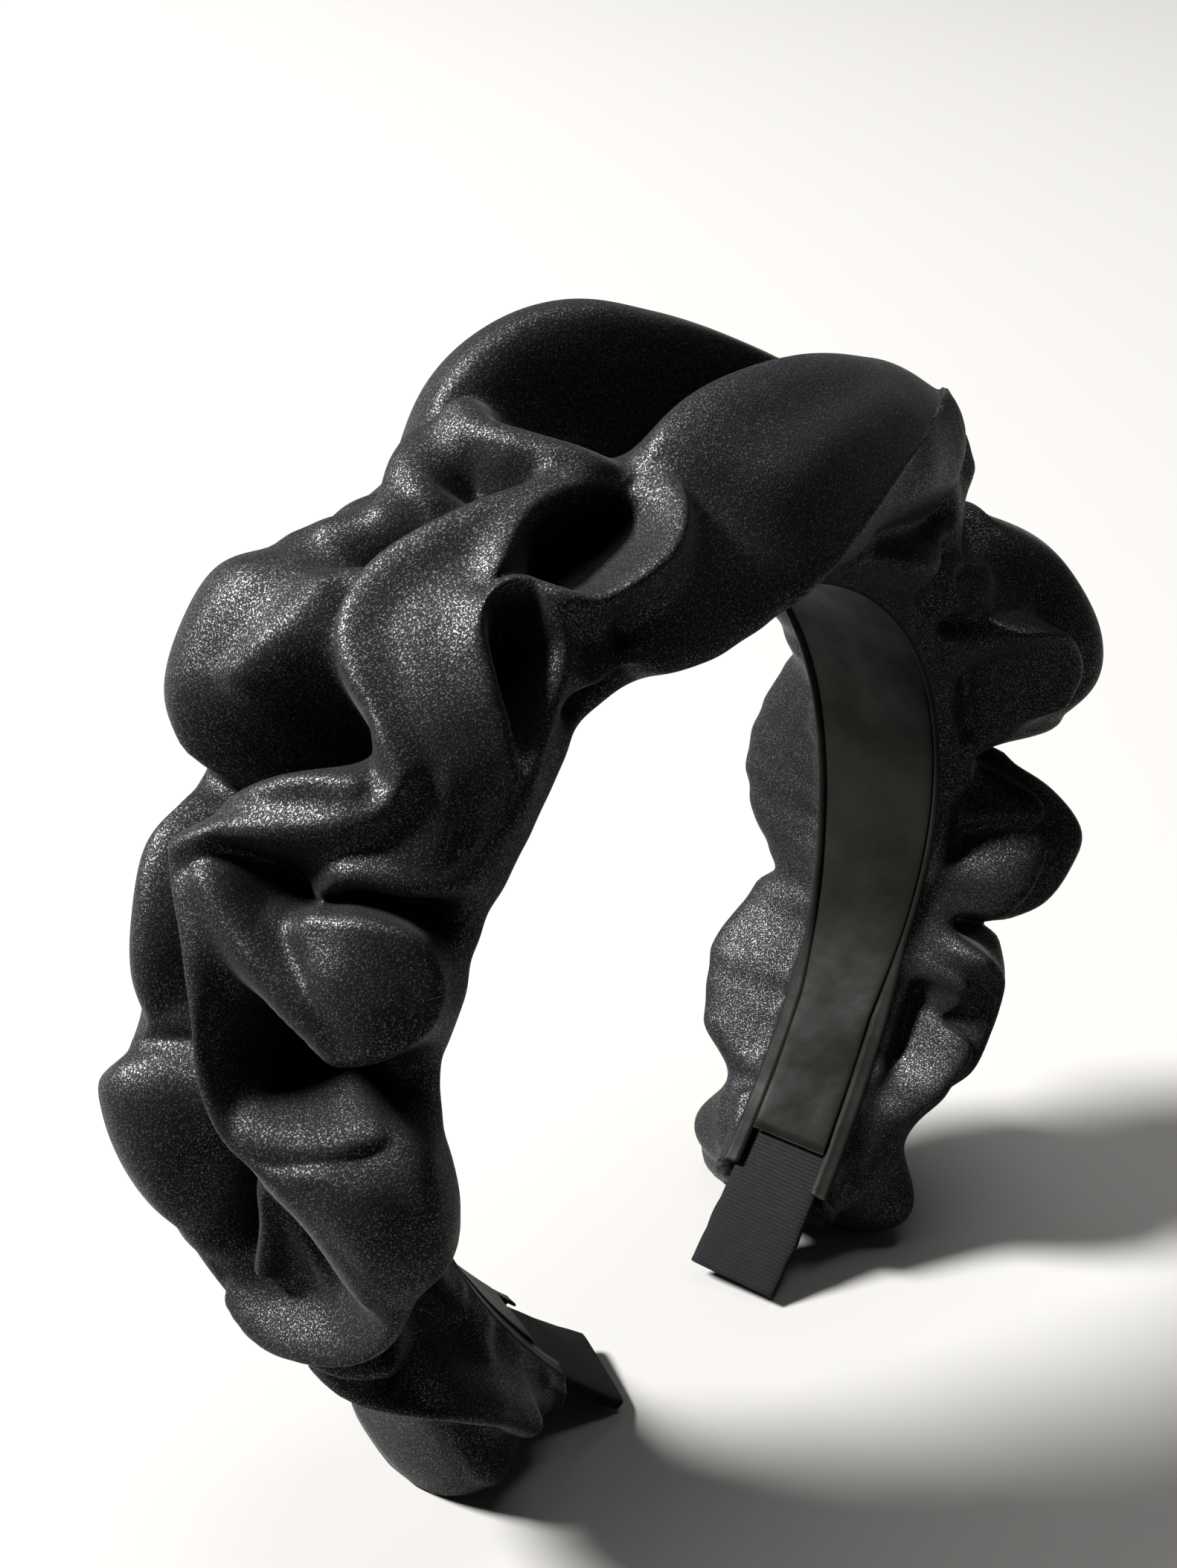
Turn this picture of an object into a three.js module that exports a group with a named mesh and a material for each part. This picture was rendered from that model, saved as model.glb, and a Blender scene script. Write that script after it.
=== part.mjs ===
// A black satin ruched headband, standing upright on its two ends.
// A thin spring band bends round the head from tip to tip. A satin strip lines its inner face,
// a grosgrain ribbon sleeve covers each tip, and a wide strip of satin is gathered over its
// outer face. The gathered cover is a hollow gutter of cloth, open towards the band.
//
// Units are millimetres. +X runs from ear to ear towards the far arm, +Y is the back of the
// head and +Z is up. The origin is under the middle of the headband, on the surface it stands on.
//
// Two shares place everything on the hoop. "along" is 0 at the crown, -1 at the near tip and 1 at
// the far tip. "across" is 0 on the outer face, -1 at the back hem and 1 at the front hem.

import * as THREE from "three";

// Hoop: the line through the middle of the spring band's thickness.
const HALF_LENGTH = 188; // crown to tip, along the band
const CROWN_RADIUS = 60; // bend radius over the top of the head
const TIP_SWEEP = 16.5; // how far the tips come forward
const TIP_TWIST = 16.5; // degrees that the front edge turns outwards at the tip
const CROWN_WIDTH = 33.6; // width of the lining at the crown

// Thicknesses and clearances.
const GAP = 0.3; // between neighbouring pieces
const BAND_THICKNESS = 0.8;
const BAND_INSET = 1.2; // band edge inside the lining edge
const BAND_FLARE = 80; // how fast the band widens above the ribbons, in mm for the whole length
const LINING_THICKNESS = 1;
const LINING_STEP = 0.01; // share of the length in which the lining steps over a ribbon's end
const CLOTH = 1.3; // wall of the gathered cover
const RIBBON_WALL = 1;

// Ribbon sleeves on the tips.
const RIBBON_WIDTH = 16.4;
const RIBBON_LENGTH = 45; // from the tip up to where it starts under the lining
const TIP_MARGIN = 3; // ribbon past the end of the band

// Lining and cover lengths, measured back from the tips.
const LINING_SETBACK = 26; // bare ribbon below the lining
const COVER_SETBACK = 18; // bare ribbon below the cover

// Gathered cover.
const SECTION_CENTRE = 5; // height of the section's centre over the band
const PUFF_WIDTH = 22; // half width of the slack cloth at the crown
const PUFF_HEIGHT = 11; // its height over the section's centre
const FOLD_RISE = 20; // height that the folds are given as shares of
const FOLD_SLOPE = 10; // width of a fold's flank that the folds are given as shares of
const NEARNESS_POWER = 3; // how strongly the nearest fold wins over the others
const SLACK_WEIGHT = 1.6; // how strongly the slack cloth holds against the folds
const CREST_ROUND = 1.2; // rounding of crests and valleys
const HEM_RUN = 0.22; // share of each side over which the cloth draws in to its hem
const END_LEAN = 30; // degrees that the gathered cloth leans towards the tip at its ends
const END_LEAN_RUN = 0.13; // share of the length over which it comes to lean
const END_RUN = 0.035; // share of the length over which the folds die out at each end
const HEM_HOLD = 0.12; // share of each side that keeps to the hem, whatever the folds do
const ABOVE_ANGLE = 35; // degrees from outward within which a fold may sink towards the band
const MAP_STRETCH = 1.25; // length of the cloth along the hoop, as a share of the hoop's
const MAP_SPREAD = 1.34; // length of the cloth across, as a share of CROWN_WIDTH
const STAND_GAP = 0.2; // ribbon tips over the surface that the cover stands on

// Fineness of the meshes.
const BAND_STEPS = 80;
const LINING_STEPS = 72;
const RIBBON_STEPS = 14;
const COVER_ROWS = 88;
const COVER_COLUMNS = 29;
const EASE_PASSES = 2;

// Bend of the hoop: radius as a share of CROWN_RADIUS.
const BEND = [
  { along: 0, radius: 1 },
  { along: 0.35, radius: 1 },
  { along: 0.7, radius: 1.6 },
  { along: 1, radius: 2.8 },
];

// Width of the hoop as a share of CROWN_WIDTH.
const TAPER = [
  { along: 0, width: 1 },
  { along: 0.5, width: 0.667 },
  { along: 0.86, width: 0.333 },
  { along: 1, width: 0.333 },
];

// Slack of the cloth between its folds: shares of PUFF_WIDTH, PUFF_HEIGHT and SECTION_CENTRE.
const PUFF = [
  { along: 0, width: 1, height: 1, centre: 1 },
  { along: 0.4, width: 0.86, height: 0.9, centre: 1 },
  { along: 0.7, width: 0.73, height: 0.82, centre: 1 },
  { along: 0.8, width: 0.66, height: 0.7, centre: 1 },
  { along: 0.86, width: 0.6, height: 0.6, centre: 0.9 },
  { along: 0.905, width: 0.46, height: 0.3, centre: 0.5 },
];

// Folds of the cover. Each runs through the points of its path, given as [along, across, rise].
// rise is the height of the fold there as a share of FOLD_RISE, below zero for a valley, and slopes
// are the widths of its left and right flanks, seen along the path, as shares of FOLD_SLOPE.
const FOLDS = [
  // The knot on the crown.
  { name: "knot back rim", slopes: [0.7, 2],
    path: [[-0.14, -0.36, 0.5], [-0.1, -0.32, 0.88], [-0.06, -0.29, 1.04], [-0.02, -0.25, 1.02],
      [0.02, -0.19, 0.84], [0.07, -0.11, 0.64], [0.12, -0.02, 0.5]] },
  { name: "knot left ridge", slopes: [0.4, 0.4],
    path: [[-0.082, -0.26, 0.85], [-0.1, -0.1, 0.78], [-0.106, 0.08, 0.72], [-0.098, 0.24, 0.62],
      [-0.083, 0.34, 0.45]] },
  { name: "knot left lobe", slopes: [0.5, 0.6],
    path: [[-0.118, -0.26, 0.75], [-0.134, -0.18, 0.8], [-0.148, -0.08, 0.75], [-0.157, 0.03, 0.65],
      [-0.144, 0.12, 0.62], [-0.121, 0.155, 0.68]] },
  { name: "knot left hollow", slopes: [0.5, 0.5],
    path: [[-0.118, -0.14, 0.45], [-0.127, -0.04, 0.3], [-0.126, 0.06, 0.35]] },
  { name: "knot bowl", slopes: [1, 1],
    path: [[-0.068, -0.1, 0.2], [-0.045, 0, -0.2], [-0.015, 0.06, -0.35], [0.02, 0.09, -0.3],
      [0.06, 0.08, 0.1]] },
  { name: "pinch", slopes: [0.25, 0.25],
    path: [[-0.089, 0.31, 0], [-0.08, 0.365, -0.2]] },
  { name: "petal crest", slopes: [1.8, 0.6],
    path: [[-0.069, 0.378, 0.5], [-0.055, 0.35, 0.65], [-0.027, 0.313, 0.72], [0.009, 0.295, 0.76],
      [0.05, 0.282, 0.8], [0.11, 0.272, 0.85], [0.172, 0.251, 0.9]] },
  { name: "petal lower edge", slopes: [1.8, 0.45],
    path: [[0.175, 0.255, 0.9], [0.135, 0.37, 0.86], [0.092, 0.483, 0.8], [0.035, 0.62, 0.72],
      [-0.009, 0.7, 0.66],
      [-0.05, 0.745, 0.6], [-0.1, 0.76, 0.55], [-0.145, 0.7, 0.52], [-0.172, 0.63, 0.5]] },
  { name: "petal belly", slopes: [1.6, 1.6],
    path: [[0.11, 0.35, 0.84], [0.05, 0.42, 0.76], [-0.01, 0.5, 0.7]] },
  { name: "petal back end", slopes: [0.6, 0.6],
    path: [[0.16, 0.13, 0.6], [0.19, 0.2, 0.75], [0.215, 0.24, 0.8], [0.235, 0.28, 0.7]] },
  { name: "hollow under petal", slopes: [0.5, 0.5],
    path: [[0.21, 0.56, 0.1], [0.185, 0.66, 0], [0.14, 0.74, 0], [0.09, 0.82, 0]] },
  { name: "hook", slopes: [0.35, 0.6],
    path: [[-0.073, 0.385, 0.5], [-0.068, 0.415, 0.68], [-0.08, 0.485, 0.78], [-0.108, 0.54, 0.85],
      [-0.138, 0.537, 0.88],
      [-0.16, 0.5, 0.88], [-0.172, 0.43, 0.88], [-0.18, 0.355, 0.86], [-0.2, 0.31, 0.82]] },
  { name: "bowl", slopes: [0.5, 0.5],
    path: [[-0.102, 0.44, -0.4], [-0.122, 0.4, -0.55], [-0.145, 0.38, -0.4]] },
  { name: "bowl upper rim", slopes: [0.5, 0.35],
    path: [[-0.085, 0.33, 0.35], [-0.107, 0.275, 0.6], [-0.133, 0.25, 0.72], [-0.157, 0.255, 0.78],
      [-0.178, 0.285, 0.82]] },

  // Between the knot and the middle of the near arm.
  { name: "upper winding crest", slopes: [0.5, 1],
    path: [[-0.115, 0.215, 0.62], [-0.135, 0.195, 0.68], [-0.154, 0.165, 0.74], [-0.18, 0.11, 0.8],
      [-0.208, 0.065, 0.84],
      [-0.232, 0.085, 0.86], [-0.25, 0.165, 0.86], [-0.268, 0.285, 0.84], [-0.283, 0.385, 0.8]] },
  { name: "crest under puff", slopes: [0.6, 0.45],
    path: [[-0.283, 0.385, 0.8], [-0.301, 0.375, 0.78], [-0.318, 0.28, 0.78], [-0.332, 0.12, 0.82],
      [-0.345, -0.03, 0.88],
      [-0.358, -0.12, 0.92]] },
  { name: "upper lobe", slopes: [1.4, 1.8],
    path: [[-0.212, -0.36, 0.85], [-0.235, -0.37, 1.08], [-0.27, -0.38, 1.08], [-0.3, -0.38, 0.98],
      [-0.322, -0.37, 0.75]] },
  { name: "upper lobe belly", slopes: [0.9, 0.9],
    path: [[-0.222, -0.14, 0.78], [-0.25, -0.16, 0.85], [-0.278, -0.22, 0.85]] },
  { name: "crease beside upper lobe", slopes: [0.25, 0.25],
    path: [[-0.2, -0.34, 0.3], [-0.212, -0.16, 0.4], [-0.226, -0.02, 0.5]] },
  { name: "saddle rim", slopes: [0.5, 1],
    path: [[-0.192, -0.42, 0.6], [-0.17, -0.4, 0.62], [-0.148, -0.37, 0.5]] },
  { name: "saddle valley", slopes: [0.45, 0.45],
    path: [[-0.198, -0.18, 0.1], [-0.182, -0.1, -0.1], [-0.168, -0.01, 0]] },
  { name: "valley under upper lobe", slopes: [0.9, 0.9],
    path: [[-0.276, 0.22, 0.1], [-0.285, 0.12, -0.3], [-0.292, -0.02, -0.5], [-0.304, -0.16, -0.5],
      [-0.322, -0.3, -0.4], [-0.34, -0.42, -0.1]] },
  { name: "small puff", slopes: [0.7, 0.7],
    path: [[-0.332, -0.05, 0.7], [-0.317, 0.06, 0.76], [-0.305, 0.17, 0.8], [-0.299, 0.28, 0.8]] },
  { name: "groove under puff", slopes: [0.3, 0.3],
    path: [[-0.35, 0.0, 0.35], [-0.353, 0.1, 0.15], [-0.361, 0.2, 0.05], [-0.368, 0.28, 0.1]] },
  { name: "strip below hook", slopes: [0.8, 0.3],
    path: [[-0.2, 0.31, 0.84], [-0.213, 0.34, 0.84], [-0.222, 0.39, 0.82], [-0.233, 0.45, 0.78],
      [-0.243, 0.52, 0.72],
      [-0.257, 0.585, 0.64], [-0.275, 0.61, 0.58]] },
  { name: "strip body", slopes: [1.2, 1.2],
    path: [[-0.225, 0.22, 0.74], [-0.25, 0.34, 0.72], [-0.275, 0.46, 0.66], [-0.305, 0.5, 0.62]] },
  { name: "strip body groove", slopes: [0.3, 0.3],
    path: [[-0.262, 0.44, 0.55], [-0.28, 0.52, 0.35], [-0.305, 0.58, 0.3]] },
  { name: "inner sheet hollow", slopes: [0.45, 0.45],
    path: [[-0.19, 0.4, 0.2], [-0.207, 0.46, 0], [-0.222, 0.53, 0], [-0.24, 0.59, 0.1]] },
  { name: "inner sheet rim", slopes: [0.35, 0.35],
    path: [[-0.178, 0.45, 0.78], [-0.18, 0.51, 0.72], [-0.193, 0.555, 0.62], [-0.213, 0.6, 0.55],
      [-0.24, 0.64, 0.52],
      [-0.27, 0.65, 0.54], [-0.3, 0.62, 0.56], [-0.325, 0.58, 0.6]] },
  { name: "gap under hook", slopes: [0.45, 0.45],
    path: [[-0.15, 0.61, 0.1], [-0.165, 0.68, -0.1], [-0.193, 0.75, -0.1]] },
  { name: "strip lower edge", slopes: [0.35, 0.5],
    path: [[-0.352, 0.3, 0.5], [-0.343, 0.33, 0.62], [-0.337, 0.38, 0.66], [-0.335, 0.45, 0.66],
      [-0.333, 0.53, 0.62], [-0.322, 0.6, 0.56]] },
  { name: "gap under strip", slopes: [0.3, 0.3],
    path: [[-0.362, 0.36, 0.1], [-0.354, 0.43, 0], [-0.35, 0.52, 0], [-0.345, 0.63, 0]] },

  // Middle of the near arm.
  { name: "long winding crest", slopes: [0.45, 0.4],
    path: [[-0.358, -0.12, 0.88], [-0.372, -0.11, 0.88], [-0.398, -0.01, 0.86], [-0.428, 0.07, 0.86],
      [-0.453, 0.105, 0.86],
      [-0.475, 0.17, 0.85], [-0.49, 0.26, 0.84], [-0.506, 0.345, 0.84], [-0.525, 0.43, 0.84],
      [-0.552, 0.49, 0.84], [-0.583, 0.52, 0.82]] },
  { name: "middle pleat", slopes: [0.8, 0.5],
    path: [[-0.37, -0.02, 0.84], [-0.386, 0.08, 0.78], [-0.4, 0.21, 0.74], [-0.412, 0.32, 0.7],
      [-0.422, 0.4, 0.66]] },
  { name: "middle pleat groove", slopes: [0.3, 0.3],
    path: [[-0.38, 0.17, 0.55], [-0.391, 0.27, 0.45], [-0.402, 0.37, 0.5]] },
  { name: "middle lobe upper rim", slopes: [1.2, 0.4],
    path: [[-0.373, 0.33, 0.58], [-0.367, 0.42, 0.66], [-0.366, 0.5, 0.68], [-0.374, 0.57, 0.68],
      [-0.39, 0.6, 0.68],
      [-0.408, 0.58, 0.68], [-0.424, 0.52, 0.66], [-0.433, 0.45, 0.62]] },
  { name: "middle lobe belly", slopes: [1.2, 1.2],
    path: [[-0.396, 0.42, 0.7], [-0.402, 0.5, 0.7]] },
  { name: "middle hollow", slopes: [0.65, 0.65],
    path: [[-0.438, 0.2, 0], [-0.448, 0.3, -0.5], [-0.452, 0.43, -0.6], [-0.45, 0.58, -0.5]] },
  { name: "back middle ridge", slopes: [1.4, 0.45],
    path: [[-0.35, -0.45, 0.55], [-0.375, -0.4, 0.72], [-0.41, -0.34, 0.75], [-0.44, -0.32, 0.72],
      [-0.462, -0.32, 0.62]] },
  { name: "back middle valley", slopes: [0.4, 0.4],
    path: [[-0.37, -0.24, 0.1], [-0.395, -0.19, -0.2], [-0.425, -0.12, -0.35], [-0.452, -0.06, -0.2]] },
  { name: "lower back lobe", slopes: [1.4, 1.2],
    path: [[-0.484, -0.31, 0.75], [-0.495, -0.27, 0.98], [-0.515, -0.24, 1], [-0.54, -0.21, 0.95],
      [-0.565, -0.185, 0.85], [-0.585, -0.165, 0.72]] },
  { name: "pinch in lower back lobe", slopes: [0.25, 0.25],
    path: [[-0.466, -0.1, 0.2], [-0.47, -0.22, 0.3], [-0.478, -0.36, 0.4]] },
  { name: "valley beside lower back lobe", slopes: [0.35, 0.35],
    path: [[-0.5, 0.08, 0.3], [-0.525, 0.12, 0], [-0.55, 0.1, -0.2], [-0.58, 0.02, -0.2]] },

  // Lower end of the near arm.
  { name: "lower lobe top", slopes: [0.5, 1.4],
    path: [[-0.482, 0.26, 0.78], [-0.482, 0.36, 0.76], [-0.478, 0.46, 0.72], [-0.472, 0.54, 0.66]] },
  { name: "lower lobe belly", slopes: [1.2, 1.2],
    path: [[-0.5, 0.42, 0.84], [-0.515, 0.5, 0.9], [-0.54, 0.56, 0.92], [-0.565, 0.58, 0.88]] },
  { name: "lower lobe rim", slopes: [0.6, 0.45],
    path: [[-0.478, 0.6, 0.66], [-0.495, 0.63, 0.78], [-0.518, 0.635, 0.86], [-0.545, 0.62, 0.88],
      [-0.572, 0.595, 0.86],
      [-0.6, 0.555, 0.84], [-0.622, 0.5, 0.82], [-0.635, 0.41, 0.8], [-0.64, 0.28, 0.78],
      [-0.642, 0.13, 0.76], [-0.635, -0.02, 0.7]] },
  { name: "hollow in lower lobe", slopes: [0.4, 0.4],
    path: [[-0.55, 0.34, 0.3], [-0.575, 0.4, 0.25], [-0.6, 0.43, 0.35]] },
  { name: "ridge in lower lobe", slopes: [0.35, 0.35],
    path: [[-0.535, 0.22, 0.5], [-0.565, 0.2, 0.5], [-0.6, 0.14, 0.55]] },
  { name: "back strip", slopes: [0.8, 0.4],
    path: [[-0.605, -0.15, 0.66], [-0.63, -0.11, 0.62], [-0.67, -0.06, 0.55], [-0.705, -0.01, 0.45],
      [-0.74, 0.04, 0.3]] },
  { name: "groove over lower strip", slopes: [0.35, 0.35],
    path: [[-0.66, 0.05, 0.2], [-0.663, 0.25, 0], [-0.66, 0.45, -0.1], [-0.64, 0.6, -0.2]] },
  { name: "lower strip", slopes: [0.4, 0.5],
    path: [[-0.68, 0.02, 0.5], [-0.69, 0.16, 0.52], [-0.69, 0.32, 0.52], [-0.688, 0.46, 0.48]] },
  { name: "end strip rim", slopes: [0.6, 0.35],
    path: [[-0.71, 0.1, 0.5], [-0.714, 0.28, 0.58], [-0.716, 0.44, 0.64], [-0.73, 0.56, 0.66],
      [-0.755, 0.63, 0.62],
      [-0.785, 0.68, 0.56], [-0.82, 0.72, 0.5]] },
  { name: "near end valley", slopes: [0.6, 0.6],
    path: [[-0.6, 0.7, -0.3], [-0.65, 0.68, -0.4], [-0.69, 0.7, -0.35], [-0.73, 0.78, -0.2]] },
  { name: "near foot", slopes: [0.7, 0.9],
    path: [[-0.85, -0.55, 0.8], [-0.852, -0.36, 1.15], [-0.853, -0.1, 1.04], [-0.85, 0.15, 0.85],
      [-0.846, 0.38, 0.62]] },
  { name: "slot over near foot", slopes: [0.45, 0.45],
    path: [[-0.765, 0.12, -0.1], [-0.772, 0.34, -0.5], [-0.787, 0.52, -0.5]] },

  // Far arm.
  { name: "far upper lobe", slopes: [1, 1.3],
    path: [[0.285, 0.3, 0.55], [0.315, 0.36, 0.85], [0.345, 0.41, 1], [0.38, 0.44, 1.08], [0.41, 0.46, 1],
      [0.435, 0.47, 0.7]] },
  { name: "notch over far upper lobe", slopes: [0.4, 0.4],
    path: [[0.265, 0.2, 0.3], [0.268, 0.45, 0.2], [0.255, 0.7, 0]] },
  { name: "far lobe crease", slopes: [0.35, 0.35],
    path: [[0.29, 0.82, -0.3], [0.305, 0.7, 0.1], [0.325, 0.6, 0.5]] },
  { name: "notch under far upper lobe", slopes: [0.5, 0.5],
    path: [[0.452, 0.15, 0.1], [0.463, 0.35, -0.2], [0.468, 0.55, -0.25], [0.462, 0.75, -0.2]] },
  { name: "far middle lobe", slopes: [0.6, 0.9],
    path: [[0.487, 0.45, 0.3], [0.505, 0.48, 0.65], [0.532, 0.51, 0.92], [0.56, 0.53, 0.86],
      [0.59, 0.54, 0.7], [0.61, 0.54, 0.45]] },
  { name: "far middle crease", slopes: [0.35, 0.35],
    path: [[0.54, 0.85, -0.4], [0.525, 0.74, -0.1], [0.518, 0.63, 0.4]] },
  { name: "far lower lobe", slopes: [1, 1],
    path: [[0.635, 0.5, 0.4], [0.67, 0.53, 0.52], [0.72, 0.54, 0.5], [0.765, 0.54, 0.38]] },
  { name: "far loop", slopes: [0.4, 0.4],
    path: [[0.64, 0.78, 0.45], [0.66, 0.68, 0.5], [0.7, 0.65, 0.52], [0.74, 0.7, 0.5], [0.76, 0.78, 0.4]] },
  { name: "hollow in far loop", slopes: [0.4, 0.4],
    path: [[0.685, 0.82, -0.4], [0.705, 0.76, -0.2]] },
  { name: "valley over far lower lobe", slopes: [0.4, 0.4],
    path: [[0.618, 0.2, 0.1], [0.622, 0.45, 0], [0.615, 0.75, -0.2]] },
  { name: "far foot", slopes: [0.9, 0.7],
    path: [[0.85, -0.5, 0.75], [0.852, -0.34, 1.12], [0.853, -0.1, 1.04], [0.852, 0.15, 0.9],
      [0.85, 0.42, 0.75]] },
  { name: "far back lobe", slopes: [0.7, 0.7],
    path: [[0.44, -0.74, 0.4], [0.5, -0.78, 0.7], [0.56, -0.78, 0.7], [0.6, -0.74, 0.4]] },
  { name: "far back lower lobe", slopes: [0.7, 0.7],
    path: [[0.65, -0.7, 0.5], [0.71, -0.76, 0.7], [0.78, -0.76, 0.6]] },

  // Back of both arms.
  { name: "back gather 1", slopes: [0.6, 0.6],
    path: [[-0.72, -0.8, 0.3], [-0.7, -0.6, 0.5], [-0.68, -0.4, 0.4]] },
  { name: "back gather 2", slopes: [0.6, 0.6],
    path: [[-0.55, -0.8, 0.3], [-0.56, -0.6, 0.5], [-0.58, -0.45, 0.4]] },
  { name: "back gather 3", slopes: [0.6, 0.6],
    path: [[-0.4, -0.85, 0.3], [-0.37, -0.7, 0.5], [-0.36, -0.55, 0.4]] },
  { name: "back gather 4", slopes: [0.6, 0.6],
    path: [[-0.24, -0.85, 0.3], [-0.26, -0.7, 0.5], [-0.27, -0.55, 0.4]] },
  { name: "back gather 5", slopes: [0.7, 0.6],
    path: [[-0.07, -0.85, 0.3], [-0.05, -0.7, 0.5], [-0.04, -0.5, 0.5]] },
  { name: "back gather 6", slopes: [0.6, 0.7],
    path: [[0.08, -0.85, 0.3], [0.06, -0.65, 0.5], [0.07, -0.45, 0.5]] },
  { name: "back gather 7", slopes: [0.8, 0.8],
    path: [[0.2, -0.85, 0.3], [0.22, -0.6, 0.7], [0.2, -0.3, 0.7], [0.22, -0.05, 0.5]] },
  { name: "back gather 8", slopes: [0.8, 0.8],
    path: [[0.37, -0.85, 0.3], [0.34, -0.6, 0.7], [0.35, -0.3, 0.8], [0.33, 0, 0.6]] },
  { name: "back gather 9", slopes: [0.8, 0.8],
    path: [[0.52, -0.6, 0.5], [0.5, -0.25, 0.7], [0.53, 0.1, 0.6]] },
  { name: "back gather 10", slopes: [0.8, 0.8],
    path: [[0.7, -0.5, 0.5], [0.7, -0.2, 0.6], [0.68, 0.1, 0.5]] },
];

const TINY = 1e-6; // keeps a division from meeting zero
const radians = THREE.MathUtils.degToRad;
const smooth = (low, high, value) => THREE.MathUtils.smoothstep(value, low, high);

// Reads a column of a table at a share of the length, on a smooth curve through its rows.
function read(table, column, at) {
  const last = table.length - 1;
  const x = THREE.MathUtils.clamp(at, table[0].along, table[last].along);
  const slope = (i) => (table[i + 1][column] - table[i][column]) / (table[i + 1].along - table[i].along);
  const tangent = (i) => {
    if (i === 0) return slope(0);
    if (i === last) return slope(last - 1);
    const [before, after] = [slope(i - 1), slope(i)];
    return before * after <= 0 ? 0 : (2 * before * after) / (before + after);
  };
  let row = 0;
  while (row < last - 1 && x > table[row + 1].along) row += 1;
  const step = table[row + 1].along - table[row].along;
  const t = (x - table[row].along) / step;
  return (
    (2 * t ** 3 - 3 * t ** 2 + 1) * table[row][column] +
    (t ** 3 - 2 * t ** 2 + t) * step * tangent(row) +
    (3 * t ** 2 - 2 * t ** 3) * table[row + 1][column] +
    (t ** 3 - t ** 2) * step * tangent(row + 1)
  );
}

// The hoop's line on the far side, walked from the crown to the tip in short steps.
function walkHoop() {
  const steps = 940;
  const length = HALF_LENGTH / steps;
  const stations = [{ x: 0, z: 0, turn: 0 }];
  for (let i = 1; i <= steps; i += 1) {
    const before = stations[i - 1];
    const middle = (i - 0.5) / steps;
    const turn = before.turn + length / (CROWN_RADIUS * read(BEND, "radius", middle));
    const heading = (before.turn + turn) / 2;
    stations.push({
      x: before.x + length * Math.cos(heading),
      z: before.z - length * Math.sin(heading),
      turn,
    });
  }
  return stations;
}

const HOOP = walkHoop();

// The hoop's point at a share of the length, with its tangent, its outward and its front vector.
function frameAt(along) {
  const side = along < 0 ? -1 : 1;
  const share = Math.abs(along);
  const place = Math.min(share, 1) * (HOOP.length - 1);
  const index = Math.min(Math.floor(place), HOOP.length - 2);
  const mix = (key) => THREE.MathUtils.lerp(HOOP[index][key], HOOP[index + 1][key], place - index);
  const turn = mix("turn");
  const point = new THREE.Vector3(side * mix("x"), -TIP_SWEEP * share ** 2, mix("z"));
  const lean = (-2 * TIP_SWEEP * share * side) / HALF_LENGTH;
  const tangent = new THREE.Vector3(Math.cos(turn), lean, -side * Math.sin(turn)).normalize();
  const forward = new THREE.Vector3(0, -1, 0);
  const front = forward.clone().addScaledVector(tangent, -forward.dot(tangent)).normalize();
  front.applyAxisAngle(tangent, -radians(TIP_TWIST) * share ** 3);
  const outward = new THREE.Vector3().crossVectors(front, tangent);
  return { point, tangent, outward, front };
}

// A point of the section at a share of the length: lateral towards the front, outward from the band.
function sectionPoint(frame, lateral, outward) {
  return frame.point
    .clone()
    .addScaledVector(frame.front, lateral)
    .addScaledVector(frame.outward, outward);
}

const halfWidth = (along) => (CROWN_WIDTH / 2) * read(TAPER, "width", Math.abs(along));

// Shares of the length where the pieces end.
const bandEnd = 1 - TIP_MARGIN / HALF_LENGTH;
const liningEnd = 1 - LINING_SETBACK / HALF_LENGTH;
const coverEnd = 1 - COVER_SETBACK / HALF_LENGTH;
const ribbonStart = 1 - RIBBON_LENGTH / HALF_LENGTH;

// Thickness stack, outward from the middle of the band.
const bandHalf = BAND_THICKNESS / 2;
const sleeveInside = bandHalf + GAP;
const sleeveOutside = sleeveInside + RIBBON_WALL;

// A closed solid through a row of rings, each a closed loop of points, with flat ends.
function loft(rings) {
  const count = rings[0].length;
  const positions = rings.flat().flatMap((point) => point.toArray());
  const triangles = [];
  for (let i = 0; i < rings.length - 1; i += 1) {
    for (let k = 0; k < count; k += 1) {
      const [a, b] = [i * count + k, i * count + ((k + 1) % count)];
      triangles.push(a, b, a + count, b, b + count, a + count);
    }
  }
  const end = (rings.length - 1) * count;
  for (let k = 1; k < count - 1; k += 1) {
    triangles.push(0, k + 1, k, end, end + k, end + k + 1);
  }
  return solid(positions, triangles);
}

function solid(positions, triangles) {
  const geometry = new THREE.BufferGeometry();
  geometry.setAttribute("position", new THREE.Float32BufferAttribute(positions, 3));
  geometry.setIndex(triangles);
  geometry.computeVertexNormals();
  return geometry;
}

// A flat ring across the hoop, from its outer face round its front edge to its inner face.
function flatRing(along, half, low, high) {
  const frame = frameAt(along);
  const corners = [
    [-half, high],
    [half, high],
    [half, low],
    [-half, low],
  ];
  return corners.map(([lateral, outward]) => sectionPoint(frame, lateral, outward));
}

function stations(from, to, count) {
  return Array.from({ length: count + 1 }, (_, i) => THREE.MathUtils.lerp(from, to, i / count));
}

// The hidden springy band. Its ends taper so that they slide into the ribbons.
function hoopBand() {
  const inRibbon = RIBBON_WIDTH / 2 - RIBBON_WALL - GAP;
  const half = (along) => {
    const clear = Math.max(ribbonStart - Math.abs(along), 0) * BAND_FLARE;
    return Math.min(halfWidth(along) - BAND_INSET, inRibbon + clear);
  };
  const ring = (along) => flatRing(along, half(along), -bandHalf, bandHalf);
  return loft(stations(-bandEnd, bandEnd, BAND_STEPS).map(ring));
}

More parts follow.
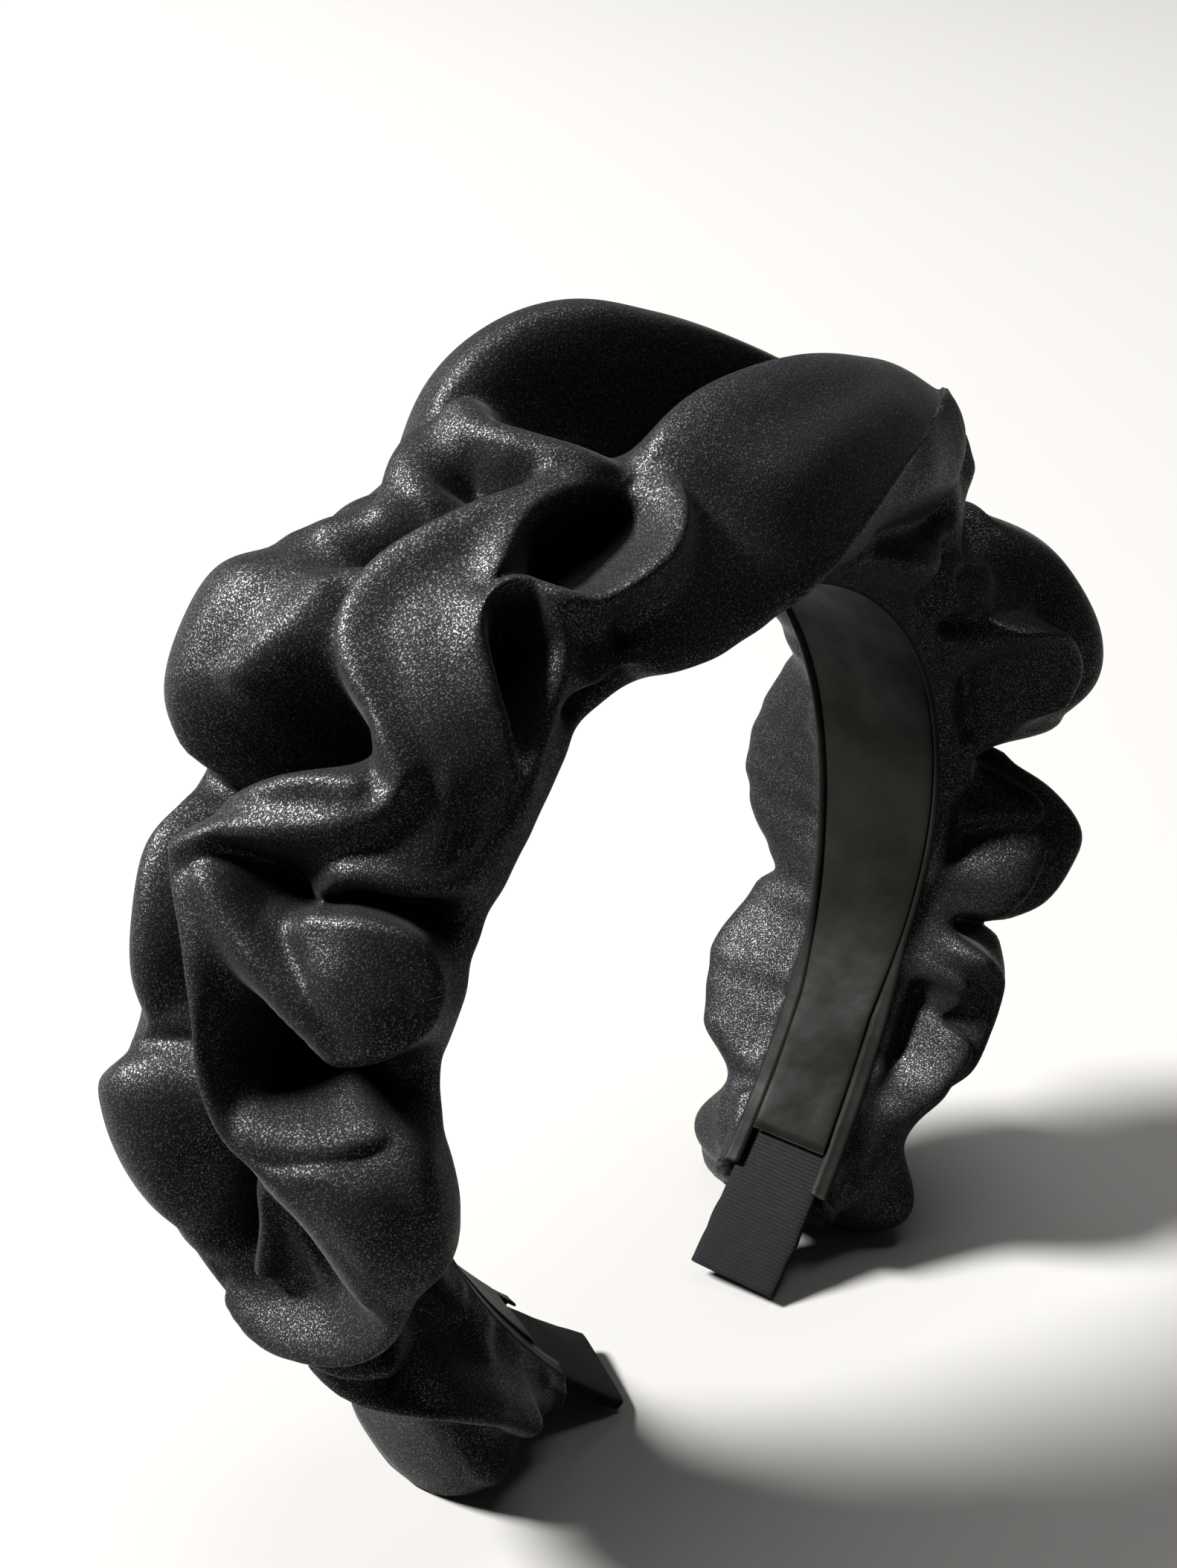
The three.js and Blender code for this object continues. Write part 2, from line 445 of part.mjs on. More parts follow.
// The lining lies on the band, and steps inward over the upper ends of the ribbons.
function innerLining() {
  const step = (along) => smooth(ribbonStart - 2 * LINING_STEP, ribbonStart - LINING_STEP, Math.abs(along));
  const ring = (along) => {
    const top = -(THREE.MathUtils.lerp(bandHalf, sleeveOutside, step(along)) + GAP);
    return flatRing(along, halfWidth(along), top - LINING_THICKNESS, top);
  };
  return loft(stations(-liningEnd, liningEnd, LINING_STEPS).map(ring));
}

// A ribbon folded round the band's end: open above, closed at the tip.
function ribbonSleeve(side) {
  const half = RIBBON_WIDTH / 2;
  const inner = (along) => flatRing(side * along, half - RIBBON_WALL, -sleeveInside, sleeveInside);
  const outer = (along) => flatRing(side * along, half, -sleeveOutside, sleeveOutside);
  const hollowEnd = 1 - RIBBON_WALL / HALF_LENGTH;
  const rings = [
    ...stations(hollowEnd, ribbonStart, RIBBON_STEPS).map(inner),
    ...stations(ribbonStart, 1, RIBBON_STEPS).map(outer),
  ];
  return loft(side < 0 ? rings.reverse() : rings);
}

// Where the cover's hem ends: clear of the lining's edge, or of the ribbon's where that is wider.
function hemAt(along) {
  const half = Math.max(halfWidth(along), RIBBON_WIDTH / 2 + GAP) + GAP;
  return { lateral: half + CLOTH, outward: -(bandHalf + GAP + LINING_THICKNESS) };
}

// The slack section between the folds, as a radius about its centre at an angle from outward.
function slackSection(along, across) {
  const share = Math.abs(along);
  const centre = SECTION_CENTRE * read(PUFF, "centre", share);
  const hem = hemAt(along);
  const drop = hem.outward - centre;
  const angle = across * Math.atan2(hem.lateral, drop);
  const width = PUFF_WIDTH * read(PUFF, "width", share);
  const height = PUFF_HEIGHT * read(PUFF, "height", share);
  const slack = 1 / Math.hypot(Math.sin(angle) / width, Math.cos(angle) / height);
  const drawn = smooth(1 - HEM_RUN, 1, Math.abs(across));
  const radius = THREE.MathUtils.lerp(slack, Math.hypot(hem.lateral, drop), drawn);
  return { radius, angle, centre, hem };
}

// Least radius that keeps the cloth outside the band and its lining.
function leastRadius(section) {
  const side = section.hem.lateral + CLOTH;
  const corner = Math.atan2(side, sleeveOutside + CLOTH + GAP - section.centre);
  const angle = Math.abs(section.angle);
  const beside = side / Math.sin(Math.max(angle, radians(ABOVE_ANGLE)));
  return THREE.MathUtils.lerp(SECTION_CENTRE, beside, smooth(radians(ABOVE_ANGLE), corner, angle));
}

// Flat map on which the folds are drawn, in millimetres of cloth.
const MAP_LENGTH = HALF_LENGTH * MAP_STRETCH;
const MAP_WIDTH = CROWN_WIDTH * MAP_SPREAD;

// A fold's path on the map, as short straight pieces. z is the height of the fold there.
function foldPieces(fold) {
  const points = fold.path.map(
    ([along, across, rise]) => new THREE.Vector3(along * MAP_LENGTH, across * MAP_WIDTH, rise * FOLD_RISE),
  );
  const curve = new THREE.CatmullRomCurve3(points, false, "catmullrom", 0.5);
  const count = (points.length - 1) * 6;
  const places = Array.from({ length: count + 1 }, (_, i) => curve.getPoint(i / count));
  return places.slice(1).map((to, i) => ({ from: places[i], to }));
}

const FOLD_PIECES = FOLDS.map((fold) => ({ slopes: fold.slopes, pieces: foldPieces(fold) }));

// A point of the map against one fold: the height of the fold where it is nearest, and a weight
// that grows towards the fold and with the width of the flank that the point is on.
function besideFold(fold, x, y) {
  let nearest = Infinity;
  let rise = 0;
  let left = 0;
  for (const { from, to } of fold.pieces) {
    const [dx, dy] = [to.x - from.x, to.y - from.y];
    const along = ((x - from.x) * dx + (y - from.y) * dy) / (dx * dx + dy * dy);
    const share = THREE.MathUtils.clamp(along, 0, 1);
    const [gapX, gapY] = [x - from.x - share * dx, y - from.y - share * dy];
    const distance = Math.hypot(gapX, gapY);
    if (distance < nearest) {
      nearest = distance;
      rise = THREE.MathUtils.lerp(from.z, to.z, share);
      left = (dx * gapY - dy * gapX) / (Math.hypot(dx, dy) * Math.max(distance, TINY));
    }
  }
  const width = THREE.MathUtils.lerp(fold.slopes[1], fold.slopes[0], (1 + left) / 2) * FOLD_SLOPE;
  return { rise, weight: (width / Math.hypot(nearest, CREST_ROUND)) ** NEARNESS_POWER };
}

// Height of the cloth: the mean of all the folds and of the slack cloth, by their weights. So the
// cloth reaches each crest and each valley, and runs smoothly from one to the next.
function foldedHeight(along, across) {
  const [x, y] = [along * MAP_LENGTH, across * MAP_WIDTH];
  let weights = SLACK_WEIGHT;
  let heights = 0;
  for (const fold of FOLD_PIECES) {
    const { rise, weight } = besideFold(fold, x, y);
    weights += weight;
    heights += weight * rise;
  }
  return heights / weights;
}

// The hoop's frame with its outward vector leaning towards the tip near the ends of the cover.
function leaningFrame(along) {
  const frame = frameAt(along);
  const lean = radians(END_LEAN) * smooth(coverEnd - END_LEAN_RUN, coverEnd, Math.abs(along));
  frame.outward.applyAxisAngle(frame.front, -Math.sign(along) * lean);
  return frame;
}

// The cover's outer face as a grid of points, a row for each section from the near end to the far
// end and a column for each step from the back hem to the front hem. Below the surface that the
// headband stands on, the cloth is pressed flat against it.
function coverOuterFace(ground) {
  const shares = stations(-coverEnd, coverEnd, COVER_ROWS - 1);
  const sides = stations(-1, 1, COVER_COLUMNS - 1);
  let heights = shares.map((along) => sides.map((across) => foldedHeight(along, across)));
  for (let pass = 0; pass < EASE_PASSES; pass += 1) heights = easeGrid(heights);
  return shares.map((along, i) => {
    const frame = leaningFrame(along);
    const ends = smooth(0, END_RUN, coverEnd - Math.abs(along));
    return sides.map((across, j) => {
      const section = slackSection(along, across);
      const fade = smooth(0, HEM_RUN, 1 - Math.abs(across)) * ends;
      const wanted = section.radius + heights[i][j] * fade;
      const least = leastRadius(section);
      const kept = least + (wanted - least + Math.hypot(wanted - least, CLOTH)) / 2;
      const held = smooth(1 - HEM_HOLD, 1, Math.abs(across));
      const radius = THREE.MathUtils.lerp(kept, section.radius, held);
      const lateral = radius * Math.sin(section.angle);
      const point = sectionPoint(frame, lateral, section.centre + radius * Math.cos(section.angle));
      point.z = Math.max(point.z, ground);
      return point;
    });
  });
}

// Takes each inner value of a grid halfway to the mean of its four neighbours.
function easeGrid(grid) {
  return grid.map((row, i) =>
    row.map((value, j) => {
      if (i === 0 || j === 0 || i === grid.length - 1 || j === row.length - 1) return value;
      const around = grid[i - 1][j] + grid[i + 1][j] + row[j - 1] + row[j + 1];
      return value / 2 + around / 8;
    }),
  );
}

// The same grid moved in by the wall of the cloth. At the hems it moves straight towards the band.
function coverInnerFace(outer, ground) {
  const rows = outer.length;
  return outer.map((row, i) => {
    const { front } = frameAt(THREE.MathUtils.lerp(-coverEnd, coverEnd, i / (rows - 1)));
    const last = row.length - 1;
    return row.map((point, j) => {
      const alongCloth = outer[Math.min(i + 1, rows - 1)][j].clone().sub(outer[Math.max(i - 1, 0)][j]);
      const acrossCloth = row[Math.min(j + 1, last)].clone().sub(row[Math.max(j - 1, 0)]);
      const normal = acrossCloth.cross(alongCloth).normalize();
      const across = (2 * j) / last - 1;
      const sideways = front.clone().multiplyScalar(Math.sign(across));
      normal.lerp(sideways, smooth(1 - HEM_HOLD, 1, Math.abs(across))).normalize();
      const inner = point.clone().addScaledVector(normal, -CLOTH);
      inner.z = Math.max(inner.z, ground + CLOTH);
      return inner;
    });
  });
}

// A closed sheet of cloth between two grids of points, with its four edges joined.
function clothBetween(outer, inner) {
  const [rows, columns] = [outer.length, outer[0].length];
  const out = (i, j) => i * columns + j;
  const ins = (i, j) => rows * columns + out(i, j);
  const triangles = [];
  const quad = (a, b, c, d) => triangles.push(a, b, c, a, c, d);
  const turned = (i, j) =>
    outer[i][j].distanceTo(outer[i + 1][j + 1]) > outer[i][j + 1].distanceTo(outer[i + 1][j]);
  for (let i = 0; i < rows - 1; i += 1) {
    for (let j = 0; j < columns - 1; j += 1) {
      if (turned(i, j)) {
        quad(out(i + 1, j), out(i, j), out(i, j + 1), out(i + 1, j + 1));
        quad(ins(i + 1, j), ins(i + 1, j + 1), ins(i, j + 1), ins(i, j));
      } else {
        quad(out(i, j), out(i, j + 1), out(i + 1, j + 1), out(i + 1, j));
        quad(ins(i, j), ins(i + 1, j), ins(i + 1, j + 1), ins(i, j + 1));
      }
    }
    quad(out(i, 0), out(i + 1, 0), ins(i + 1, 0), ins(i, 0));
    const edge = columns - 1;
    quad(out(i + 1, edge), out(i, edge), ins(i, edge), ins(i + 1, edge));
  }
  for (let j = 0; j < columns - 1; j += 1) {
    quad(out(0, j + 1), out(0, j), ins(0, j), ins(0, j + 1));
    const end = rows - 1;
    quad(out(end, j), out(end, j + 1), ins(end, j + 1), ins(end, j));
  }
  const positions = [...outer.flat(), ...inner.flat()].flatMap((point) => point.toArray());
  return solid(positions, triangles);
}

function ruchedCover(ground) {
  const outer = coverOuterFace(ground);
  return clothBetween(outer, coverInnerFace(outer, ground));
}

const satin = new THREE.MeshStandardMaterial({ color: 0x1b1b1c, roughness: 0.45, metalness: 0 });
const liningSatin = new THREE.MeshStandardMaterial({ color: 0x22221f, roughness: 0.55, metalness: 0 });
const grosgrain = new THREE.MeshStandardMaterial({ color: 0x161616, roughness: 0.85, metalness: 0 });
const springPlastic = new THREE.MeshStandardMaterial({ color: 0x0e0e0e, roughness: 0.5, metalness: 0 });

function piece(name, geometry, material) {
  const mesh = new THREE.Mesh(geometry, material);
  mesh.name = name;
  return mesh;
}

const headband = new THREE.Group();
const nearSleeve = piece("near_ribbon_sleeve", ribbonSleeve(-1), grosgrain);
const farSleeve = piece("far_ribbon_sleeve", ribbonSleeve(1), grosgrain);
const tips = new THREE.Box3().setFromObject(nearSleeve).union(new THREE.Box3().setFromObject(farSleeve));
const ground = tips.min.z - STAND_GAP;
headband.add(
  piece("hoop_band", hoopBand(), springPlastic),
  piece("inner_lining", innerLining(), liningSatin),
  nearSleeve,
  farSleeve,
  piece("ruched_cover", ruchedCover(ground), satin),
);

// The origin goes under the middle of the whole headband, on the surface it stands on.
const box = new THREE.Box3().setFromObject(headband);
const middle = box.getCenter(new THREE.Vector3());
headband.children.forEach((mesh) => mesh.position.set(-middle.x, -middle.y, -box.min.z));

export default headband;
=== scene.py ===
# %% [markdown]
# # A black ruched satin headband
#
# A springy band bends round the head. A satin strip lines its inner face, a grosgrain ribbon is
# folded round each tip, and a wide strip of satin is gathered over the outside. This lesson
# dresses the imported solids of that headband: the gathered cover gets its fine folds, the lining
# and the ribbons get their cloth, and a camera stands where the photograph was taken.

# %% Load the frame
import math

import bmesh
import bpy
import numpy as np
from mathutils import Matrix, Vector, noise


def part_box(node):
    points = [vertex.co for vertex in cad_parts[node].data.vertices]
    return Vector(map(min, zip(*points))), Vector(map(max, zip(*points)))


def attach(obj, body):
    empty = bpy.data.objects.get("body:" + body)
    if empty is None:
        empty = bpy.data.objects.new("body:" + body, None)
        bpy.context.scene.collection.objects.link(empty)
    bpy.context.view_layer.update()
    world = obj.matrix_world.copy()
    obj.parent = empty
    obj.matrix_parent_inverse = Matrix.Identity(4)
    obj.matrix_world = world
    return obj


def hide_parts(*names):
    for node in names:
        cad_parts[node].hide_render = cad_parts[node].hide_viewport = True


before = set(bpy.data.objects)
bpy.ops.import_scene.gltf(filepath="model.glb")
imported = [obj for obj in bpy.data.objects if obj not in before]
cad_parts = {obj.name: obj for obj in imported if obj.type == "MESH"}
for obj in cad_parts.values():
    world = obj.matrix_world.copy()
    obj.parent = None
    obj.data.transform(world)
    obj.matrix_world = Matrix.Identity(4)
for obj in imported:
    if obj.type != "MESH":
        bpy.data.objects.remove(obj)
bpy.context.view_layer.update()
MM = 0.001
print("nodes:", sorted(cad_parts))

# %% [markdown]
# ## Where the hoop is
#
# Everything is drawn in the hoop's own frame: millimetres from the top of the band, with the tips
# below. The sizes are the same as in the solids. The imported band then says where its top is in
# the frame, so nothing has to be placed by eye.

# %% Sizes of the hoop
HALF_LENGTH = 188  # crown to tip, along the band
CROWN_RADIUS = 60  # bend over the top of the head
TIP_SWEEP = 16.5  # how far the tips come forward
TIP_TWIST = math.radians(16.5)  # how far the front edge turns outwards at the tips
CROWN_WIDTH = 33.6  # width of the lining at the crown
BAND_THICKNESS = 0.8
BAND_INSET = 1.2  # band edge inside the lining edge

low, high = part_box("hoop_band")
HOOP_TOP = Vector((
    (low[0] + high[0]) / 2,
    high[1] - (CROWN_WIDTH / 2 - BAND_INSET) * MM,
    high[2] - BAND_THICKNESS / 2 * MM,
))
print("top of the hoop, in metres:", [round(v, 4) for v in HOOP_TOP])

# %% [markdown]
# ## The camera
#
# The photograph looks down at the near arm from the front left. The camera's place is given in
# the hoop's frame. Its lens is worked out from the focal length and the height of the
# photograph, both in pixels, which gives the photograph's narrow field of view.

# %% Camera
CAMERA_PLACE = Vector((-224.8, -200.4, 129.3))
CAMERA_AZIMUTH = math.radians(-46.9)
CAMERA_ELEVATION = math.radians(29.4)
CAMERA_ROLL = math.radians(3.6)
FOCAL_PIXELS = 3000
PHOTO_HEIGHT = 2108


def add_camera():
    """A camera at the photograph's viewpoint, with its lens."""
    back = Vector((
        math.sin(CAMERA_AZIMUTH) * math.cos(CAMERA_ELEVATION),
        -math.cos(CAMERA_AZIMUTH) * math.cos(CAMERA_ELEVATION),
        math.sin(CAMERA_ELEVATION),
    ))
    level = Vector((0, 0, 1)).cross(back).normalized()
    right = level * math.cos(CAMERA_ROLL) + back.cross(level) * math.sin(CAMERA_ROLL)
    turned = Matrix((right, back.cross(right), back)).transposed().to_4x4()
    turned.translation = HOOP_TOP + CAMERA_PLACE * MM
    data = bpy.data.cameras.new("photo_camera")
    data.sensor_width = 36
    data.lens = FOCAL_PIXELS / PHOTO_HEIGHT * data.sensor_width
    camera = bpy.data.objects.new("photo_camera", data)
    camera.matrix_world = turned
    bpy.context.collection.objects.link(camera)
    bpy.context.scene.camera = camera
    return camera


camera = add_camera()
print("lens:", round(camera.data.lens, 1), "mm")

# %% [markdown]
# ## Small tables, read as smooth curves
#
# Three short tables shape the hoop and the slack of the cloth. In each, "along" lists shares of
# the length, and the other lists give shares of a named size there. A cubic through the values
# reads them anywhere, and never overshoots between two of them.

# %% Tables
BEND = {"along": [0, 0.35, 0.7, 1], "radius": [1, 1, 1.6, 2.8]}
TAPER = {"along": [0, 0.5, 0.86, 1], "width": [1, 0.667, 0.333, 0.333]}
PUFF = {
    "along": [0, 0.4, 0.7, 0.8, 0.86, 0.905],
    "width": [1, 0.86, 0.73, 0.66, 0.6, 0.46],
    "height": [1, 0.9, 0.82, 0.7, 0.6, 0.3],
    "centre": [1, 1, 1, 1, 0.9, 0.5],
}


def read(table, column, at):
    """A column of a table at a share of the length, on a smooth curve through its rows."""
    rows, values = np.array(table["along"], float), np.array(table[column], float)
    steps = np.diff(rows)
    slopes = np.diff(values) / steps
    inner = np.zeros(len(slopes) - 1)
    same_way = slopes[:-1] * slopes[1:] > 0
    before, after = slopes[:-1][same_way], slopes[1:][same_way]
    inner[same_way] = 2 * before * after / (before + after)
    tangents = np.concatenate([slopes[:1], inner, slopes[-1:]])
    at = np.clip(np.abs(at), rows[0], rows[-1])
    row = np.clip(np.searchsorted(rows, at, side="right") - 1, 0, len(steps) - 1)
    t = (at - rows[row]) / steps[row]
    return (
        (2 * t**3 - 3 * t**2 + 1) * values[row]
        + (t**3 - 2 * t**2 + t) * steps[row] * tangents[row]
        + (3 * t**2 - 2 * t**3) * values[row + 1]
        + (t**3 - t**2) * steps[row] * tangents[row + 1]
    )


def smooth(low_end, high_end, value):
    """A share from 0 to 1 between two values, easing out of both."""
    share = np.clip((value - low_end) / (high_end - low_end), 0, 1)
    return share * share * (3 - 2 * share)


halfway_width = CROWN_WIDTH * read(TAPER, "width", 0.5)
print("lining width halfway down an arm:", round(float(halfway_width), 1), "mm")

# %% [markdown]
# ## The hoop's line
#
# The band is walked from the crown to the tip in short steps, turning a little at each by the
# bend radius of the table. Each place on the line then has four vectors that everything else is
# placed by: the point, the way along the band, the way outwards and the way to the front.

# %% Hoop line
WALK_STEPS = 940


def walk_hoop():
    """Shares of the length, with x, z and the band's turn at each, on the far side."""
    length = HALF_LENGTH / WALK_STEPS
    middles = (np.arange(WALK_STEPS) + 0.5) / WALK_STEPS
    turns = np.cumsum(length / (CROWN_RADIUS * read(BEND, "radius", middles)))
    turns = np.concatenate([[0], turns])
    headings = (turns[:-1] + turns[1:]) / 2
    x = np.concatenate([[0], np.cumsum(length * np.cos(headings))])
    z = np.concatenate([[0], -np.cumsum(length * np.sin(headings))])
    return np.linspace(0, 1, WALK_STEPS + 1), x, z, turns


HOOP_SHARE, HOOP_X, HOOP_Z, HOOP_TURN = walk_hoop()
print("the band turns by", round(math.degrees(HOOP_TURN[-1])), "degrees from crown to tip")

# %% Places on the hoop


def unit(vectors):
    """The same vectors, each of length one."""
    return vectors / np.linalg.norm(vectors, axis=-1, keepdims=True)


def hoop_frame(along, lean=0.0):
    """Point, tangent, outward and front vectors of the hoop at an array of shares."""
    along = np.asarray(along, float)
    side, share = np.where(along < 0, -1.0, 1.0), np.abs(along)
    turn = np.interp(share, HOOP_SHARE, HOOP_TURN)
    x = np.interp(share, HOOP_SHARE, HOOP_X)
    z = np.interp(share, HOOP_SHARE, HOOP_Z)
    point = np.stack([side * x, -TIP_SWEEP * share**2, z], -1)
    sweep = -2 * TIP_SWEEP * share * side / HALF_LENGTH
    tangent = unit(np.stack([np.cos(turn), sweep, -side * np.sin(turn)], -1))
    forward = np.array([0.0, -1.0, 0.0])
    front = unit(forward - tangent * (tangent @ forward)[..., None])
    outward = np.cross(front, tangent)
    twist = (TIP_TWIST * share**3)[..., None]
    front, outward = (
        front * np.cos(twist) + outward * np.sin(twist),
        outward * np.cos(twist) - front * np.sin(twist),
    )
    leaning = (lean * side)[..., None]
    outward = outward * np.cos(leaning) + tangent * np.sin(leaning)
    return point, tangent, outward, front


def section_point(place, lateral, outwards):
    """A point of a section: lateral is towards the front, outwards is off the head."""
    point, _, outward, front = place
    return point + front * lateral[..., None] + outward * outwards[..., None]


def half_width(along):
    """Half the hoop's width at a share of the length."""
    return CROWN_WIDTH / 2 * read(TAPER, "width", along)


tips = hoop_frame([-1.0, 1.0])
print("tips, in mm from the top:", np.round(tips[0], 1).tolist())

# %% [markdown]
# ## How the cloth lies on the band
#
# Three kinds of cloth lie against the band: a ribbon folded round each tip, the lining over the
# inner face, and the cover over the outer face. The lining and the cover stop short of the tips,
# so that the ribbons show. The lining rises in a long ramp where it runs on to a ribbon, and it
# stays nearly as wide as the ribbon there.

# %% Sizes of the cloth
GAP = 0.3  # between neighbouring layers
CLOTH = 1.3  # room that the cover keeps for its wall
LINING_THICKNESS = 1
LINING_SETBACK = 26  # bare ribbon below the lining
LINING_RAMP = 0.16  # share of the length over which the lining rises on to a ribbon
LINING_LEAST = 14  # width of the lining over the ribbons
COVER_SETBACK = 18  # bare ribbon below the cover
RIBBON_WALL = 1
RIBBON_WIDTH = 16.4
RIBBON_LENGTH = 45

lining_end = 1 - LINING_SETBACK / HALF_LENGTH
cover_end = 1 - COVER_SETBACK / HALF_LENGTH
ribbon_start = 1 - RIBBON_LENGTH / HALF_LENGTH
sleeve_outside = BAND_THICKNESS / 2 + GAP + RIBBON_WALL


def lining_half(along):
    """Half the lining's width at a share of the length."""
    return np.maximum(half_width(along), LINING_LEAST / 2)


print("length of hoop that the cover spans:", round(2 * cover_end * HALF_LENGTH), "mm")

# %% [markdown]
# ## The folds
#
# Gathered satin makes winding crests with sharp valleys between them. Each fold is a row: its
# name, how wide its left and right flanks are, and its path on the flat cloth. The path's points
# are [along, across, rise]: along runs from -1 at the near tip to 1 at the far tip, across from
# -1 at the back hem to 1 at the front hem, and rise is how high the cloth stands there. The cloth
# could also be simulated, but a simulation gives other folds each time a size changes, and these
# have to be the folds of the photograph.

# %% The flat cloth
MAP_STRETCH = 1.25  # length of the flat cloth along the hoop, as a share of the hoop's
MAP_SPREAD = 1.34  # width of half the flat cloth, as a share of the crown's width
MAP_LENGTH = HALF_LENGTH * MAP_STRETCH
MAP_WIDTH = CROWN_WIDTH * MAP_SPREAD
FOLD_RISE = 20  # height that the rises are shares of
FOLD_SLOPE = 10  # width that the flanks are shares of
print("the folds are drawn on", round(2 * MAP_LENGTH), "by", round(2 * MAP_WIDTH), "mm of cloth")

# %% Folds of the knot on the crown
KNOT_FOLDS = [
    ("knot back rim", [0.7, 2], [
        [-0.14, -0.36, 0.5], [-0.1, -0.32, 0.88], [-0.06, -0.29, 1.04], [-0.02, -0.25, 1.02],
        [0.02, -0.19, 0.84], [0.07, -0.11, 0.64], [0.12, -0.02, 0.5],
    ]),
    ("knot left ridge", [0.9, 0.7], [
        [-0.11, -0.2, 0.86], [-0.117, -0.09, 0.8], [-0.112, 0.06, 0.74], [-0.1, 0.21, 0.66],
        [-0.083, 0.33, 0.5],
    ]),
    ("knot left lobe", [0.9, 0.9], [
        [-0.13, -0.28, 0.8], [-0.148, -0.2, 0.8], [-0.16, -0.1, 0.72], [-0.168, -0.02, 0.6],
    ]),
    ("knot left hollow", [0.6, 0.6], [
        [-0.137, -0.06, 0.3], [-0.135, 0.04, 0.25], [-0.127, 0.12, 0.35],
    ]),
    ("knot bowl", [1, 1], [
        [-0.068, -0.1, 0.2], [-0.045, 0, -0.2], [-0.015, 0.06, -0.35], [0.02, 0.09, -0.3],
        [0.06, 0.08, 0.1],
    ]),
    ("pinch", [0.25, 0.25], [
        [-0.089, 0.31, 0], [-0.08, 0.365, -0.2],
    ]),
    ("petal crest", [1.8, 0.6], [
        [-0.069, 0.378, 0.5], [-0.055, 0.35, 0.65], [-0.027, 0.313, 0.72], [0.009, 0.295, 0.76],
        [0.05, 0.282, 0.8], [0.11, 0.272, 0.85], [0.172, 0.251, 0.9],
    ]),
    ("petal lower edge", [1.8, 0.45], [
        [0.175, 0.255, 0.9], [0.135, 0.37, 0.86], [0.092, 0.483, 0.8], [0.035, 0.62, 0.72],
        [-0.009, 0.7, 0.66], [-0.05, 0.745, 0.6], [-0.1, 0.76, 0.55], [-0.145, 0.7, 0.52],
        [-0.172, 0.63, 0.5],
    ]),
    ("petal belly", [1.6, 1.6], [
        [0.11, 0.35, 0.84], [0.05, 0.42, 0.76], [-0.01, 0.5, 0.7],
    ]),
    ("petal back end", [0.6, 0.6], [
        [0.16, 0.13, 0.6], [0.19, 0.2, 0.75], [0.215, 0.24, 0.8], [0.235, 0.28, 0.7],
    ]),
    ("hollow under petal", [0.5, 0.5], [
        [0.21, 0.56, 0.1], [0.185, 0.66, 0], [0.14, 0.74, 0], [0.09, 0.82, 0],
    ]),
    ("hook", [0.35, 0.6], [
        [-0.073, 0.385, 0.5], [-0.068, 0.415, 0.68], [-0.08, 0.485, 0.78], [-0.108, 0.54, 0.85],
        [-0.138, 0.537, 0.88], [-0.16, 0.5, 0.88], [-0.172, 0.43, 0.88], [-0.18, 0.355, 0.86],
        [-0.2, 0.31, 0.82],
    ]),
    ("bowl", [0.5, 0.5], [
        [-0.102, 0.44, -0.4], [-0.122, 0.4, -0.55], [-0.145, 0.38, -0.4],
    ]),
    ("bowl upper rim", [0.5, 0.35], [
        [-0.085, 0.33, 0.35], [-0.107, 0.275, 0.6], [-0.133, 0.25, 0.72], [-0.157, 0.255, 0.78],
        [-0.178, 0.285, 0.82],
    ]),
]
print(len(KNOT_FOLDS), "folds make the knot")

